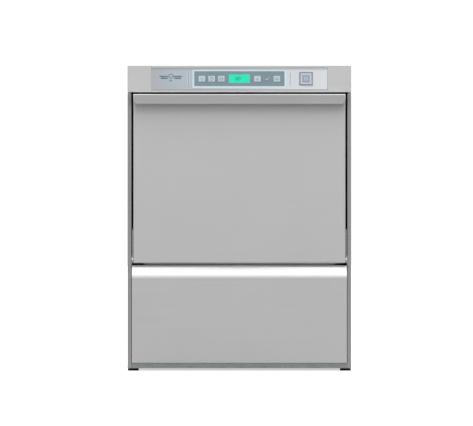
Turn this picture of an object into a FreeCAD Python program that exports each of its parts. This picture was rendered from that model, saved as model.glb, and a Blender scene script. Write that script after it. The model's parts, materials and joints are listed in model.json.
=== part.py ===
# Undercounter glass washer: a stainless cabinet with a drop-down front door, a wash chamber with two
# pairs of rotating spray arms, and the tank, pumps, boiler and controls that they need.
# Millimetres. X runs to the right, Y to the rear, Z up. The origin is on the floor, in the middle.
import FreeCAD, Part
import itertools
import math
import os

import Sketcher
from FreeCAD import Placement, Rotation, Vector

doc = FreeCAD.newDocument("glass_washer")
sheet = doc.addObject("Spreadsheet::Sheet", "sizes")
aliases = []
pieces = []


# ---------------------------------------------------------------- sizes that know their formulas
class Size:
    """A length with its number and the expression on the sheet that gives it."""

    def __init__(self, number, text):
        self.number = float(number)
        self.text = text

    def __float__(self):
        return self.number

    def __neg__(self):
        return Size(-self.number, f"(-1 * {self.text})")

    def __add__(self, other):
        other = size(other)
        return Size(self.number + other.number, f"({self.text} + {other.text})")

    def __sub__(self, other):
        other = size(other)
        return Size(self.number - other.number, f"({self.text} - {other.text})")

    def __mul__(self, other):
        other = size(other)
        return Size(self.number * other.number, f"({self.text} * {other.text})")

    def __truediv__(self, other):
        other = size(other)
        return Size(self.number / other.number, f"({self.text} / {other.text})")

    def __radd__(self, other):
        return size(other) + self

    def __rsub__(self, other):
        return size(other) - self

    def __rmul__(self, other):
        return size(other) * self


def size(given):
    """The given Size, or a plain number as one."""
    if isinstance(given, Size):
        return given
    return Size(given, f"({given:g})")


def cell(alias, number, meaning):
    """A driving size: a plain number in the sheet, under its alias, with what it means."""
    aliases.append(alias)
    row = len(aliases)
    sheet.set(f"A{row}", alias)
    sheet.set(f"B{row}", str(number))
    sheet.set(f"C{row}", meaning)
    sheet.setAlias(f"B{row}", alias)
    return Size(number, f"sizes.{alias}")


def smaller(one, other):
    """The smaller of two sizes."""
    return Size(min(one.number, other.number), f"min({one.text}; {other.text})")


# ---------------------------------------------------------------- driving sizes
# casing
width = cell("width", 600, "overall, across the side panels")
depth = cell("depth", 628, "overall, from the handle lip to the rear edges")
height = cell("height", 820, "overall, from the floor to the top cover")
skin = cell("skin", 1, "casing sheet")
plate = cell("plate", 1.5, "structural sheet")
sheet_gap = cell("sheet_gap", 0.2, "between nested sheets")
side_return = cell("side_return", 10, "width of the side panels' folded front edges")
side_setback = cell("side_setback", 2, "of the side panels' front edges, behind the door face")
cover_height = cell("cover_height", 18, "edge of the top cover")
cover_seam = cell("cover_seam", 1, "between the top cover and the side panels")
rear_opening = cell("rear_opening", 150, "height of the open connection space at the rear")
post_width = cell("post_width", 20, "of the posts and legs of the frame")
rail_depth = cell("rail_depth", 28, "of the rails that carry the chamber")
screw_radius = cell("screw_radius", 2, "of the panel screws")
screw_inset = cell("screw_inset", 16, "of the panel screws from the side panels")
base_strip = cell("base_strip", 14, "height of the base tray's rim")
vent_count = cell("vent_count", 9, "ventilation slots in the rear panel")
vent_length = cell("vent_length", 120, "of a ventilation slot")
vent_width = cell("vent_width", 5, "of a ventilation slot")
vent_pitch = cell("vent_pitch", 14, "between ventilation slots")
# feet
foot_radius = cell("foot_radius", 15, "of a foot's pad")
foot_pad = cell("foot_pad", 7, "from the floor to the base tray")
foot_stem = cell("foot_stem", 5, "radius of a foot's screw")
foot_screw = cell("foot_screw", 34, "length of a foot's screw above its pad")
foot_clearance = cell("foot_clearance", 0.2, "round and above a foot")
foot_inset = cell("foot_inset", 28, "of the feet's axes from the casing's front and rear")
# door and lower front panel
door_thickness = cell("door_thickness", 40, "outer face to inner face")
hinge_height = cell("hinge_height", 297, "of the door's hinge axis")
hinge_setback = cell("hinge_setback", 8, "of the hinge axis behind the door face and above its lower edge")
side_gap = cell("side_gap", 5.5, "between the door and each side panel")
door_gap = cell("door_gap", 5, "between the door and the lower front panel")
door_round = cell("door_round", 3, "radius of the door's lower front edge")
lip_reach = cell("lip_reach", 28, "of the handle lip in front of the door")
lip_height = cell("lip_height", 26.5, "of the handle lip")
lip_taper = cell("lip_taper", 9, "by which each end of the lip narrows to its lower edge")
lip_hem = cell("lip_hem", 2, "radius of the lip's rolled lower edge")
pan_fold = cell("pan_fold", 15, "depth of the inner pan's folded edges")
pan_depth = cell("pan_depth", 2, "of the raised field on the door's inner face")
pan_margin = cell("pan_margin", 34, "round that raised field")
panel_side_gap = cell("panel_side_gap", 1.5, "between the lower panel and each side panel")
slope_height = cell("slope_height", 31, "of the lower panel's sloping top")
slope_depth = cell("slope_depth", 14, "by which that slope leans back")
panel_depth = cell("panel_depth", 24, "of the lower panel's folded edges")
# hinge
pin_radius = cell("pin_radius", 4, "of the hinge pins")
running_gap = cell("running_gap", 0.1, "radial, round a shaft or pin that turns")
arm_plate = cell("arm_plate", 3, "thickness of the hinge arms")
arm_gap = cell("arm_gap", 0.5, "between a hinge arm and the door's edge")
arm_bar = cell("arm_bar", 18, "width of a hinge arm")
hook_hole = cell("hook_hole", 3, "radius of the holes for the spring's hooks")
arm_rise = cell("arm_rise", 83, "of a hinge arm up the door's edge")
lever_reach = cell("lever_reach", 50, "from the hinge axis back to the spring's hole")
spring_radius = cell("spring_radius", 7, "to the middle of the spring's wire")
spring_wire = cell("spring_wire", 1.5, "radius of the spring's wire")
spring_body = cell("spring_body", 86, "length of the spring's coiled part")
# wash chamber and tank
side_cavity = cell("side_cavity", 38, "from the side panels to the inside of the chamber")
rear_cavity = cell("rear_cavity", 42, "from the rear edges to the inside of the chamber")
wall = cell("wall", 1.2, "sheet of the chamber and tank")
chamber_floor = cell("chamber_floor", 270, "height of the chamber's floor")
threshold = cell("threshold", 326, "height of the opening's lower edge")
threshold_drop = cell("threshold_drop", 26, "of the flange's foot under the threshold")
flange_height = cell("flange_height", 14, "of the flange above the opening")
flange_width = cell("flange_width", 22, "of the flange beside the opening")
cove = cell("cove", 18, "inner radius of the chamber's corners")
mouth_round = cell("mouth_round", 12, "radius of the opening's lower corners")
over = cell("over", 5, "how far a cutter passes a wall")
tank_ledge = cell("tank_ledge", 38, "of chamber floor round the tank")
tank_depth = cell("tank_depth", 100, "below the chamber's floor")
tank_cove = cell("tank_cove", 30, "inner radius of the tank's corners")
gasket_gap = cell("gasket_gap", 6, "between the closed door and the chamber's flange")
gasket_width = cell("gasket_width", 10, "of the door gasket")
gasket_relief = cell("gasket_relief", 0.3, "between the gasket and the closed door")
rack_plane = cell("rack_plane", 333, "height of the rails that carry the rack")
rail_width = cell("rail_width", 22, "of a rack rail")
strainer_lap = cell("strainer_lap", 8, "of a strainer over the tank's edge")
slot_radius = cell("slot_radius", 3, "half the width of a strainer slot")
slot_length = cell("slot_length", 24, "between the centres of a slot's round ends")
basket_radius = cell("basket_radius", 42, "of the strainer basket")
basket_depth = cell("basket_depth", 74, "of the strainer basket")
handle_wire = cell("handle_wire", 1.5, "radius of the basket's handle")
basket_gap = cell("basket_gap", 1.5, "round the basket in its strainer")
basket_inset = cell("basket_inset", 30, "of the basket from the tank's walls")
handle_rise = cell("handle_rise", 11, "of the basket's handle above its rim")
handle_foot = cell("handle_foot", 60, "height of the handle's feet in the basket")
rim_width = cell("rim_width", 9, "of the basket's flange")
# spray arms
post_radius = cell("post_radius", 12, "of the spray posts")
post_bore = cell("post_bore", 9, "radius of the way through the posts")
arm_clearance = cell("arm_clearance", 26, "from the arms' tips to the chamber's wall")
arm_lift = cell("arm_lift", 20, "from the chamber's floor to the lower wash arm")
arm_drop = cell("arm_drop", 10, "from the chamber's ceiling to the upper wash arm")
wash_arm_height = cell("wash_arm_height", 14, "of a wash arm's wings")
rinse_arm_height = cell("rinse_arm_height", 8, "of a rinse arm's wings")
hub_radius = cell("hub_radius", 20, "of a wash arm's hub")
hub_rise = cell("hub_rise", 6, "of a wash arm's hub above its wings")
hub_fall = cell("hub_fall", 4, "of a wash arm's hub below its wings")
stack_gap = cell("stack_gap", 1, "between the pieces on a spray post")
jet_radius = cell("jet_radius", 2.5, "of a wash jet")
rinse_jet_radius = cell("rinse_jet_radius", 1.2, "of a rinse jet")
jet_count = cell("jet_count", 5, "jets along each wing")
first_jet = cell("first_jet", 22, "from an arm's hub to its first jet")
last_jet = cell("last_jet", 18, "from an arm's last jet to its tip")
post_stub = cell("post_stub", 10, "of the upper post above the chamber")
nut_wall = cell("nut_wall", 4, "of the arms' retaining nuts, from the post to a corner")
nut_height = cell("nut_height", 8, "of the retaining nuts")
riser_inset = cell("riser_inset", 22, "of the riser pipe's axis from the rear edges")
riser_bend = cell("riser_bend", 20, "radius of the riser pipe's bends")
riser_radius = cell("riser_radius", 13, "of the riser pipe")
pipe_wall = cell("pipe_wall", 1.5, "of the pipes and hoses")
# machinery under the tank
pump_x = cell("pump_x", 82, "of the wash pump's axis")
pump_z = cell("pump_z", 98, "of the wash pump's axis")
volute_radius = cell("volute_radius", 62, "of the wash pump's casing")
volute_wall = cell("volute_wall", 4, "of the wash pump's casing")
volute_length = cell("volute_length", 50, "of the wash pump's casing")
motor_radius = cell("motor_radius", 50, "of the wash pump's motor")
motor_length = cell("motor_length", 170, "of the wash pump's motor")
stator_radius = cell("stator_radius", 31, "inside the motor's stator")
spigot_length = cell("spigot_length", 10, "of the tank's spigots")
elbow_bend = cell("elbow_bend", 26, "radius of the suction elbow")
suction_radius = cell("suction_radius", 22, "of the suction elbow")
delivery_radius = cell("delivery_radius", 15, "of the delivery pipe")
manifold_z = cell("manifold_z", 54, "of the delivery pipe's axis")
shaft_radius = cell("shaft_radius", 6, "of the wash pump's shaft")
drain_setback = cell("drain_setback", 84, "of the drain pump's axis from the tank's back")
drain_height = cell("drain_height", 40, "of the drain pump's casing")
drain_shaft = cell("drain_shaft", 3, "radius of the small pumps' shafts")
hose_bend = cell("hose_bend", 22, "radius of the drain hose's bends")
drain_inset = cell("drain_inset", 110, "of the drain pump's axis from the side panel")
drain_radius = cell("drain_radius", 32, "of the drain pump's casing")
spigot_radius = cell("spigot_radius", 11, "of the drain spigot")
boiler_radius = cell("boiler_radius", 65, "of the rinse boiler")
boiler_length = cell("boiler_length", 360, "of the rinse boiler")
boiler_inset = cell("boiler_inset", 35, "of the boiler from the side panel")
boiler_z = cell("boiler_z", 98, "of the boiler's axis")
heater_radius = cell("heater_radius", 4, "of the heating elements' tube")
heater_reach = cell("heater_reach", 180, "of the tank's heating element")
heater_z = cell("heater_z", 185, "of the tank's heating element")
heater_span = cell("heater_span", 60, "between the legs of a heating element")
doser_half = cell("doser_half", 27, "half the side of a dosing pump's housing")
doser_depth = cell("doser_depth", 40, "of a dosing pump's housing")
doser_clear = cell("doser_clear", 20, "least space between the dosing pumps and the motor")
doser_setback = cell("doser_setback", 60, "of the dosing pumps behind the base tray's rim")
doser_cup = cell("doser_cup", 23, "radius of a dosing pump's rotor chamber")
doser_z = cell("doser_z", 100, "of the dosing pumps' axes")
connection_z = cell("connection_z", 60, "of the connections at the rear")
connection_inset = cell("connection_inset", 50, "of the outer connections from the side panels")
inlet_radius = cell("inlet_radius", 13.2, "of the water inlet's screw thread")
shoulder = cell("shoulder", 1.8, "of a connection's shoulder in its plate")
stub_length = cell("stub_length", 14, "of the connections behind their plates")
plate_setback = cell("plate_setback", 18, "of the connection plates from the rear edges")
gland_body = cell("gland_body", 10, "radius of the cable gland")
gland_length = cell("gland_length", 20, "of the cable gland")
gland_bore = cell("gland_bore", 6.5, "radius of the way through the cable gland")
# control panel
fascia_height = cell("fascia_height", 72.5, "of the control fascia")
fascia_depth = cell("fascia_depth", 40, "of the control fascia")
fascia_gap = cell("fascia_gap", 5.5, "between the fascia and the door")
overlay_width = cell("overlay_width", 474, "of the control overlay")
overlay_height = cell("overlay_height", 60, "of the control overlay")
overlay_thickness = cell("overlay_thickness", 1.2, "of the control overlay")
field_width = cell("field_width", 242, "of the key field")
field_height = cell("field_height", 40, "of the key field")
field_sink = cell("field_sink", 0.3, "of the key field below the overlay")
display_width = cell("display_width", 56, "of the display window")
display_height = cell("display_height", 23, "of the display window")
key_width = cell("key_width", 17, "of a key")
key_height = cell("key_height", 15, "of a key")
key_first = cell("key_first", 48.5, "from the middle to the nearest keys")
key_pitch = cell("key_pitch", 26, "from key to key")
key_cap = cell("key_cap", 0.8, "thickness of a key's cap")
key_stem = cell("key_stem", 2.5, "radius of a key's stem")
key_gap = cell("key_gap", 0.3, "round a key")
key_travel = cell("key_travel", 0.6, "of a key")
key_proud = cell("key_proud", 0.6, "of a key in front of its field")
start_x = cell("start_x", 178.8, "of the start button")
start_width = cell("start_width", 30, "of the start button")
bezel_width = cell("bezel_width", 35.6, "of the start button's bezel")
start_cap = cell("start_cap", 6, "thickness of the start button's cap")
bezel_height = cell("bezel_height", 1.5, "of the start button's bezel in front of the overlay")
start_travel = cell("start_travel", 1.5, "of the start button")
box_setback = cell("box_setback", 41, "of the electronics box behind the chamber's front")
box_length = cell("box_length", 240, "of the electronics box")
board_setback = cell("board_setback", 24, "of the control board behind the fascia's face")
board_thickness = cell("board_thickness", 1.6, "of the control board")

# ---------------------------------------------------------------- places that follow from them
half_width = width / 2
lip_front = -depth / 2
rear_edge = depth / 2
door_face = lip_front + lip_reach
door_back = door_face + door_thickness
side_front = door_face + side_setback
side_top = height - cover_height - cover_seam
fascia_bottom = height - fascia_height
fascia_back = door_face + fascia_depth
door_top = fascia_bottom - fascia_gap
door_half = half_width - side_return - side_gap
hinge_y = door_face + hinge_setback
door_bottom = hinge_height - hinge_setback
panel_top = door_bottom - door_gap
panel_bottom = foot_pad + base_strip
base_half = half_width - skin - sheet_gap
base_inside = base_half - plate
base_front = side_front + skin + sheet_gap
base_rear = rear_edge - skin - sheet_gap
tray_top = foot_pad + plate
chamber_half = half_width - side_cavity
chamber_front = door_back + gasket_gap
chamber_back = rear_edge - rear_cavity
chamber_top = door_top - flange_height - gasket_relief
flange_half = chamber_half + flange_width
flange_top = chamber_top + flange_height
middle_y = (chamber_front + chamber_back) / 2
tank_half = chamber_half - tank_ledge
tank_front = chamber_front + wall + tank_ledge
tank_back = chamber_back - tank_ledge
tank_bottom = chamber_floor - tank_depth
under_tank = tank_bottom - wall
arm_reach = smaller(chamber_half, (chamber_back - chamber_front) / 2) - arm_clearance
strainer_top = chamber_floor + wall
basket_x = -(tank_half - basket_radius - basket_inset)
basket_y = tank_front + basket_radius + 24
lower_arm_z = chamber_floor + arm_lift
upper_arm_z = chamber_top - arm_drop
rinse_hub_height = rinse_arm_height + 1
lower_rinse_z = lower_arm_z + wash_arm_height + hub_rise + stack_gap
upper_rinse_z = upper_arm_z - wash_arm_height - hub_rise - stack_gap
lower_nut_z = lower_rinse_z + rinse_hub_height + stack_gap
upper_nut_z = upper_rinse_z - rinse_hub_height - stack_gap
riser_y = rear_edge - riser_inset
riser_top = chamber_top + wall + riser_radius + 24
post_foot = under_tank - spigot_length
nut_radius = post_radius + nut_wall
volute_back = tank_back - 120
volute_front = volute_back - volute_length
motor_front = volute_front - motor_length
suction_y = volute_back + 40
outlet_y = (volute_front + volute_back) / 2
outlet_x = delivery_radius + 10
drain_x = half_width - drain_inset
drain_y = tank_back - drain_setback
drain_top = under_tank - 2 * spigot_length
drain_base = drain_top - drain_height
drain_outlet_x = drain_x + drain_radius - spigot_radius
boiler_x = -(half_width - boiler_inset - boiler_radius)
boiler_front = middle_y - boiler_length / 2
doser_front = smaller(base_front + doser_setback, motor_front - doser_depth - doser_clear)
plate_y = rear_edge - plate_setback
stub_end = plate_y + plate + stub_length
inlet_x = half_width - connection_inset
gland_x = inlet_x - 100
panel_z = fascia_bottom + fascia_height / 2
overlay_front = door_face - overlay_thickness
field_front = overlay_front + field_sink
key_front = field_front - key_proud
board_front = door_face + board_setback
switch_front = board_front - 3
spring_x = door_half + arm_gap + arm_plate / 2
spring_y = hinge_y + lever_reach
ring_z = hinge_height - spring_radius
coil_top = ring_z - 2
coil_bottom = coil_top - spring_body
anchor_z = tray_top + 30
screw_x = half_width - screw_inset
hinge_block_height = (hinge_height - 12, hinge_height + 12)
drain_outlet_z = (drain_base + drain_top) / 2
start_front = overlay_front - bezel_height - 0.5
SIDES = {"left": -1, "right": 1}
FOOT_ROWS = {"front": side_front + foot_inset, "rear": rear_edge - foot_inset}
SCREW_ROWS = {"low": rear_opening + 20, "middle": (rear_opening + side_top) / 2, "high": side_top - 30}
DOSERS = {"detergent": half_width - 150, "rinse_aid": half_width - 85}
VANES = 5


# ---------------------------------------------------------------- ways of drawing
def bind(item, **formulas):
    """Ties an object's properties to formulas. A double underscore stands for a dot."""
    for name, formula in formulas.items():
        item.setExpression(name.replace("__", "."), size(formula).text)
    return item


def place(item, x, y, z):
    """Ties an object's place to three formulas."""
    return bind(item, Placement__Base__x=x, Placement__Base__y=y, Placement__Base__z=z)


def span(*ends):
    """Two ends with the lower one first."""
    return sorted(map(size, ends), key=float)


def block(name, *spans):
    """A box, given its two ends along X, Y and Z in either order."""
    solid = doc.addObject("Part::Box", name)
    lows = []
    for side, ends in zip(("Length", "Width", "Height"), spans):
        low, high = span(*ends)
        bind(solid, **{side: high - low})
        lows.append(low)
    return place(solid, *lows)


TURNS = {"X": Rotation(Vector(0, 1, 0), 90), "Y": Rotation(Vector(1, 0, 0), -90), "Z": Rotation()}


def rod(name, axis, across, along, radius):
    """A cylinder. Across is where its axis lies in the two other directions, in X, Y, Z order."""
    solid = doc.addObject("Part::Cylinder", name)
    low, high = span(*along)
    bind(solid, Radius=radius, Height=high - low)
    solid.Placement = Placement(Vector(), TURNS[axis])
    corner = list(across)
    corner.insert("XYZ".index(axis), low)
    return place(solid, *corner)


def ring(name, centre, across, wire):
    """A wire ring that stands in a plane along X and Z."""
    solid = doc.addObject("Part::Torus", name)
    bind(solid, Radius1=across, Radius2=wire)
    solid.Placement = Placement(Vector(), TURNS["Y"])
    return place(solid, *centre)


def vane(name, axis, hub, turn, reach, thickness, length):
    """A flat blade from a shaft's axis outwards, turned about the axis by so many degrees."""
    solid = doc.addObject("Part::Box", name)
    bind(solid, Length=reach, Width=thickness, Height=length)
    solid.Placement = Placement(Vector(), TURNS[axis] * Rotation(Vector(0, 0, 1), turn))
    return place(solid, *hub)


def fuse(name, *solids):
    """The solids as one."""
    whole = doc.addObject("Part::MultiFuse", name)
    whole.Shapes = list(solids)
    whole.Refine = True
    return whole


def cut(name, base, *tools):
    """The base without the tools."""
    rest = doc.addObject("Part::Cut", name)
    rest.Base = base
    rest.Tool = tools[0] if len(tools) == 1 else fuse(f"{name}_tools", *tools)
    rest.Refine = True
    return rest


def tube(name, axis, across, along, outer, inner):
    """A cylinder with a round way through it."""
    low, high = span(*along)
    way = rod(f"{name}_way", axis, across, (low - 1, high + 1), inner)
    return cut(name, rod(f"{name}_solid", axis, across, along, outer), way)


def several(name, *solids):
    """Separate solids in one node."""
    compound = doc.addObject("Part::Compound", name)
    compound.Links = list(solids)
    return compound


def along(*axes):
    """Picks the straight edges that run along any of the axes."""

    def picked(edge):
        if edge.Curve.TypeId != "Part::GeomLine":
            return False
        direction = edge.Curve.Direction
        return any(abs(getattr(direction, axis)) > 0.999 for axis in axes)

    return picked


def picked_edges(shape, picked):
    """The numbers of a shape's picked edges."""
    return [number for number, edge in enumerate(shape.Edges, 1) if picked(edge)]


def rounded(name, base, radius, picked):
    """The base with its picked edges rounded."""
    doc.recompute()
    item = doc.addObject("Part::Fillet", name)
    item.Base = base
    item.Edges = [(edge, float(radius), float(radius)) for edge in picked_edges(base.Shape, picked)]
    return item


def pipe(name, points, bend, outer, inner=None):
    """A pipe, or a solid tube if inner isn't given, along straight runs joined by arcs."""
    knots = [Vector(*map(float, point)) for point in points]
    edges = []
    start = knots[0]
    for before, corner, after in zip(knots, knots[1:], knots[2:]):
        back = (before - corner).normalize()
        onward = (after - corner).normalize()
        half_turn = (math.pi - back.getAngle(onward)) / 2
        setback = float(bend) * math.tan(half_turn)
        to_arc = float(bend) / math.cos(half_turn) - float(bend)
        first = corner + back * setback
        last = corner + onward * setback
        edges.append(Part.LineSegment(start, first).toShape())
        edges.append(Part.Arc(first, corner + (back + onward).normalize() * to_arc, last).toShape())
        start = last
    edges.append(Part.LineSegment(start, knots[-1]).toShape())
    path = Part.Wire(edges)

    def swept(radius):
        section = Part.Wire(Part.makeCircle(float(radius), knots[0], knots[1] - knots[0]))
        return path.makePipeShell([section], True, False)

    item = doc.addObject("Part::Feature", name)
    item.Shape = swept(outer).cut(swept(inner)) if inner else swept(outer)
    return item


def start_body(name):
    """A body for sketched features."""
    return doc.addObject("PartDesign::Body", name)


def blank_sketch(body, name, plane, offset):
    """An empty sketch on one of the body's own planes, moved along that plane's normal."""
    sketch = body.newObject("Sketcher::SketchObject", name)
    support = next(item for item in body.Origin.OriginFeatures if item.Role == plane)
    sketch.AttachmentSupport = [(support, "")]
    sketch.MapMode = "FlatFace"
    return bind(sketch, AttachmentOffset__Base__z=offset)


def fix_point(sketch, geometry, position, corner):
    """Holds a point of a sketch at two formulas from the sketch's origin."""
    for kind, value in zip(("DistanceX", "DistanceY"), corner):
        rule = Sketcher.Constraint(kind, -1, 1, geometry, position, float(value))
        number = sketch.addConstraint(rule)
        sketch.setExpression(f"Constraints[{number}]", size(value).text)


def draw_loops(sketch, loops):
    """Draws closed loops of straight sides through their corners."""
    for corners in loops:
        points = [Vector(float(x), float(y)) for x, y in corners]
        first = sketch.GeometryCount
        for start, end in zip(points, points[1:] + points[:1]):
            sketch.addGeometry(Part.LineSegment(start, end))
        for side, corner in enumerate(corners):
            following = (side + 1) % len(corners)
            sketch.addConstraint(Sketcher.Constraint("Coincident", first + side, 2, first + following, 1))
            fix_point(sketch, first + side, 1, corner)


def draw_circles(sketch, circles):
    """Draws circles, each given as the place of its centre and its radius."""
    for x, y, radius in circles:
        centre = Vector(float(x), float(y))
        geometry = sketch.addGeometry(Part.Circle(centre, Vector(0, 0, 1), float(radius)))
        number = sketch.addConstraint(Sketcher.Constraint("Radius", geometry, float(radius)))
        sketch.setExpression(f"Constraints[{number}]", size(radius).text)
        fix_point(sketch, geometry, 3, (x, y))


def rectangle(x_ends, y_ends):
    """The corners of a rectangle."""
    left, right = x_ends
    low, high = y_ends
    return [(left, low), (right, low), (right, high), (left, high)]


def pad(body, name, plane, length, loops=(), circles=(), offset=0, both_ways=False, backwards=False):
    """Adds a sketched outline's prism to the body."""
    sketch = blank_sketch(body, f"{name}_outline", plane, offset)
    draw_loops(sketch, loops)
    draw_circles(sketch, circles)
    feature = body.newObject("PartDesign::Pad", name)
    feature.Profile = sketch
    feature.Midplane = both_ways
    feature.Reversed = backwards
    return bind(feature, Length=length)


def pocket(body, name, plane, length, loops=(), circles=(), offset=0, both_ways=False, backwards=False):
    """Takes a sketched outline's prism out of the body, against the plane's normal."""
    sketch = blank_sketch(body, f"{name}_outline", plane, offset)
    draw_loops(sketch, loops)
    draw_circles(sketch, circles)
    feature = body.newObject("PartDesign::Pocket", name)
    feature.Profile = sketch
    feature.Midplane = both_ways
    feature.Reversed = backwards
    return bind(feature, Length=length)


def revolve(body, name, corners):
    """Adds a ring or disc to the body: an outline of radii and heights, turned about Z."""
    sketch = blank_sketch(body, f"{name}_outline", "XZ_Plane", 0)
    draw_loops(sketch, [corners])
    feature = body.newObject("PartDesign::Revolution", name)
    feature.Profile = sketch
    feature.ReferenceAxis = (sketch, ["V_Axis"])
    feature.Angle = 360
    return feature


def fillet(body, name, radius, picked):
    """Rounds the picked edges of the body as it stands."""
    doc.recompute()
    base = body.Tip
    names = [f"Edge{number}" for number in picked_edges(base.Shape, picked)]
    feature = body.newObject("PartDesign::Fillet", name)
    feature.Base = (base, names)
    return bind(feature, Radius=radius)


def repeat(body, name, feature, axis, spread, count):
    """Repeats a feature in a row along one of the body's own axes."""
    pattern = body.newObject("PartDesign::LinearPattern", name)
    line = next(item for item in body.Origin.OriginFeatures if item.Role == axis)
    pattern.Originals = [feature]
    pattern.Direction = (line, [""])
    pattern.Occurrences = int(float(count))
    bind(pattern, Length=spread)
    body.Tip = pattern
    return pattern


def node(item):
    """Puts a finished sub-part on the list of those written out. Its label is its name."""
    pieces.append(item)
    return item


# ---------------------------------------------------------------- casing
def make_base_frame():
    """The base tray, the connection plate, the rear posts and the rails that carry the chamber."""
    rail_top = chamber_floor - wall
    rail_front = spring_y + spring_radius + spring_wire + 5
    post_rear = base_rear - skin - sheet_gap
    beams = []
    for side, sign in SIDES.items():
        outer = sign * base_half
        inner = sign * base_inside
        leg_inner = sign * (base_inside - plate)
        post = fuse(
            f"rear_post_{side}_folded",
            block(f"post_web_{side}", (outer, inner), (post_rear - post_width, post_rear),
                  (panel_bottom, side_top - skin)),
            block(f"post_flange_{side}", (outer, sign * (base_half - post_width)),
                  (post_rear - plate, post_rear),
                  (panel_bottom, side_top - skin)),
        )
        holes = [
            rod(f"post_hole_{row}_{side}", "Y", (sign * screw_x, screw_z), (post_rear - 5, post_rear + 5),
                screw_radius + 0.1)
            for row, screw_z in SCREW_ROWS.items()
        ]
        beams.append(cut(f"rear_post_{side}", post, *holes))
        rail_ends = (rail_front, post_rear - plate)
        beams.append(fuse(
            f"rail_{side}_beam",
            block(f"leg_{side}", (inner, leg_inner), (rail_front, rail_front + post_width),
                  (tray_top, rail_top)),
            block(f"rail_web_{side}", (inner, leg_inner), rail_ends, (rail_top - rail_depth, rail_top)),
            block(f"rail_shelf_{side}", (inner, sign * (tank_half + flange_height + 2)), rail_ends,
                  (rail_top - plate, rail_top)),
        ))
    return several("base_frame", make_base_tray(), make_connection_plate(), *beams)


def make_base_tray():
    """The tray under everything, with its rims, the feet's nuts and the springs' anchors."""
    rim = (foot_pad, panel_bottom)
    adds = [
        block("tray_floor", (-base_half, base_half), (base_front, base_rear), (foot_pad, tray_top)),
        block("rim_front", (-base_half, base_half), (base_front, base_front + plate), rim),
        block("rim_rear", (-base_half, base_half), (base_rear - plate, base_rear), rim),
    ]
    holes = []
    for side, sign in SIDES.items():
        tab = (sign * (spring_x - arm_plate / 2), sign * (spring_x + arm_plate / 2))
        adds.append(block(f"rim_{side}", (sign * base_half, sign * base_inside), (base_front, base_rear),
                          rim))
        adds.append(block(f"spring_tab_{side}", tab, (spring_y - 8, spring_y + 8), (tray_top, anchor_z + 8)))
        holes.append(rod(f"tab_hole_{side}", "X", (spring_y, anchor_z), (tab[0] - 5, tab[1] + 5), hook_hole))
        for end, foot_y in FOOT_ROWS.items():
            axis = (sign * (half_width - foot_radius), foot_y)
            adds.append(rod(f"nut_{end}_{side}", "Z", axis, (tray_top, panel_bottom - 1), foot_stem + 4))
            holes.append(rod(f"foot_hole_{end}_{side}", "Z", axis, (0, panel_bottom),
                             foot_stem + foot_clearance))
    return cut("base_tray", fuse("tray_solids", *adds), *holes)


def make_connection_plate():
    """The upright plate at the rear that the connections pass through."""
    ends = (plate_y, plate_y + plate)
    through = (plate_y - 1, plate_y + plate + 1)
    return cut(
        "connection_plate",
        block("plate_sheet", (gland_x - 30, inlet_x + 35), ends, (tray_top, rear_opening - 40)),
        rod("inlet_hole", "Y", (inlet_x, connection_z), through, inlet_radius + shoulder + sheet_gap),
        rod("gland_hole", "Y", (gland_x, connection_z), through, gland_body + sheet_gap),
        rod("drain_hole", "Y", (drain_outlet_x, connection_z), through,
            spigot_radius + shoulder + sheet_gap),
    )


def make_foot(end, side, sign):
    """A round pad under a levelling screw."""
    body = start_body(f"foot_{end}_{side}")
    pad_top = foot_pad - foot_clearance
    stem_top = foot_pad + foot_screw
    corners = [
        (0, 0), (foot_radius - 1, 0), (foot_radius, 1), (foot_radius, pad_top - 1.5),
        (foot_radius - 1.5, pad_top),
        (foot_stem, pad_top), (foot_stem, stem_top - 1), (foot_stem - 1, stem_top), (0, stem_top),
    ]
    revolve(body, f"turned_{end}_{side}", corners)
    return place(body, sign * (half_width - foot_radius), FOOT_ROWS[end], 0)


def make_side_panel(side, sign):
    """A side sheet with its front, rear and top edges folded inwards."""
    outer = sign * half_width
    inner = sign * (half_width - skin)
    fold = sign * (half_width - side_return)
    upper_front = fascia_back + skin
    return fuse(
        f"{side}_side_panel",
        block(f"{side}_sheet", (outer, inner), (side_front, rear_edge), (foot_pad, door_top)),
        block(f"{side}_upper_sheet", (outer, inner), (upper_front, rear_edge), (door_top, side_top)),
        block(f"{side}_front_fold", (outer, fold), (side_front, side_front + skin), (foot_pad, door_top)),
        block(f"{side}_rear_fold", (outer, fold), (rear_edge - skin, rear_edge), (foot_pad, side_top)),
        block(f"{side}_top_fold", (outer, fold), (upper_front, rear_edge), (side_top - skin, side_top)),
    )


def make_rear_panel():
    """The rear sheet above the connection space, with a row of ventilation slots on each side."""
    body = start_body("rear_panel")
    pad(body, "rear_sheet", "XZ_Plane", skin, offset=-base_rear,
        loops=[rectangle((-base_half, base_half), (rear_opening, side_top - skin - sheet_gap))])
    low = rear_opening + 60
    slots = [
        rectangle((place_x - vent_length / 2, place_x + vent_length / 2), (low, low + vent_width))
        for place_x in (-half_width / 2, half_width / 2)
    ]
    first = pocket(body, "rear_slots", "XZ_Plane", 3 * skin, loops=slots, offset=-base_rear, both_ways=True)
    screws = [(sign * screw_x, height_z, screw_radius + 0.1)
              for sign in SIDES.values() for height_z in SCREW_ROWS.values()]
    repeat(body, "rear_vents", first, "Z_Axis", vent_pitch * (vent_count - 1), vent_count)
    pocket(body, "rear_screw_holes", "XZ_Plane", 3 * skin, circles=screws, offset=-base_rear, both_ways=True)
    return body


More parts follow.
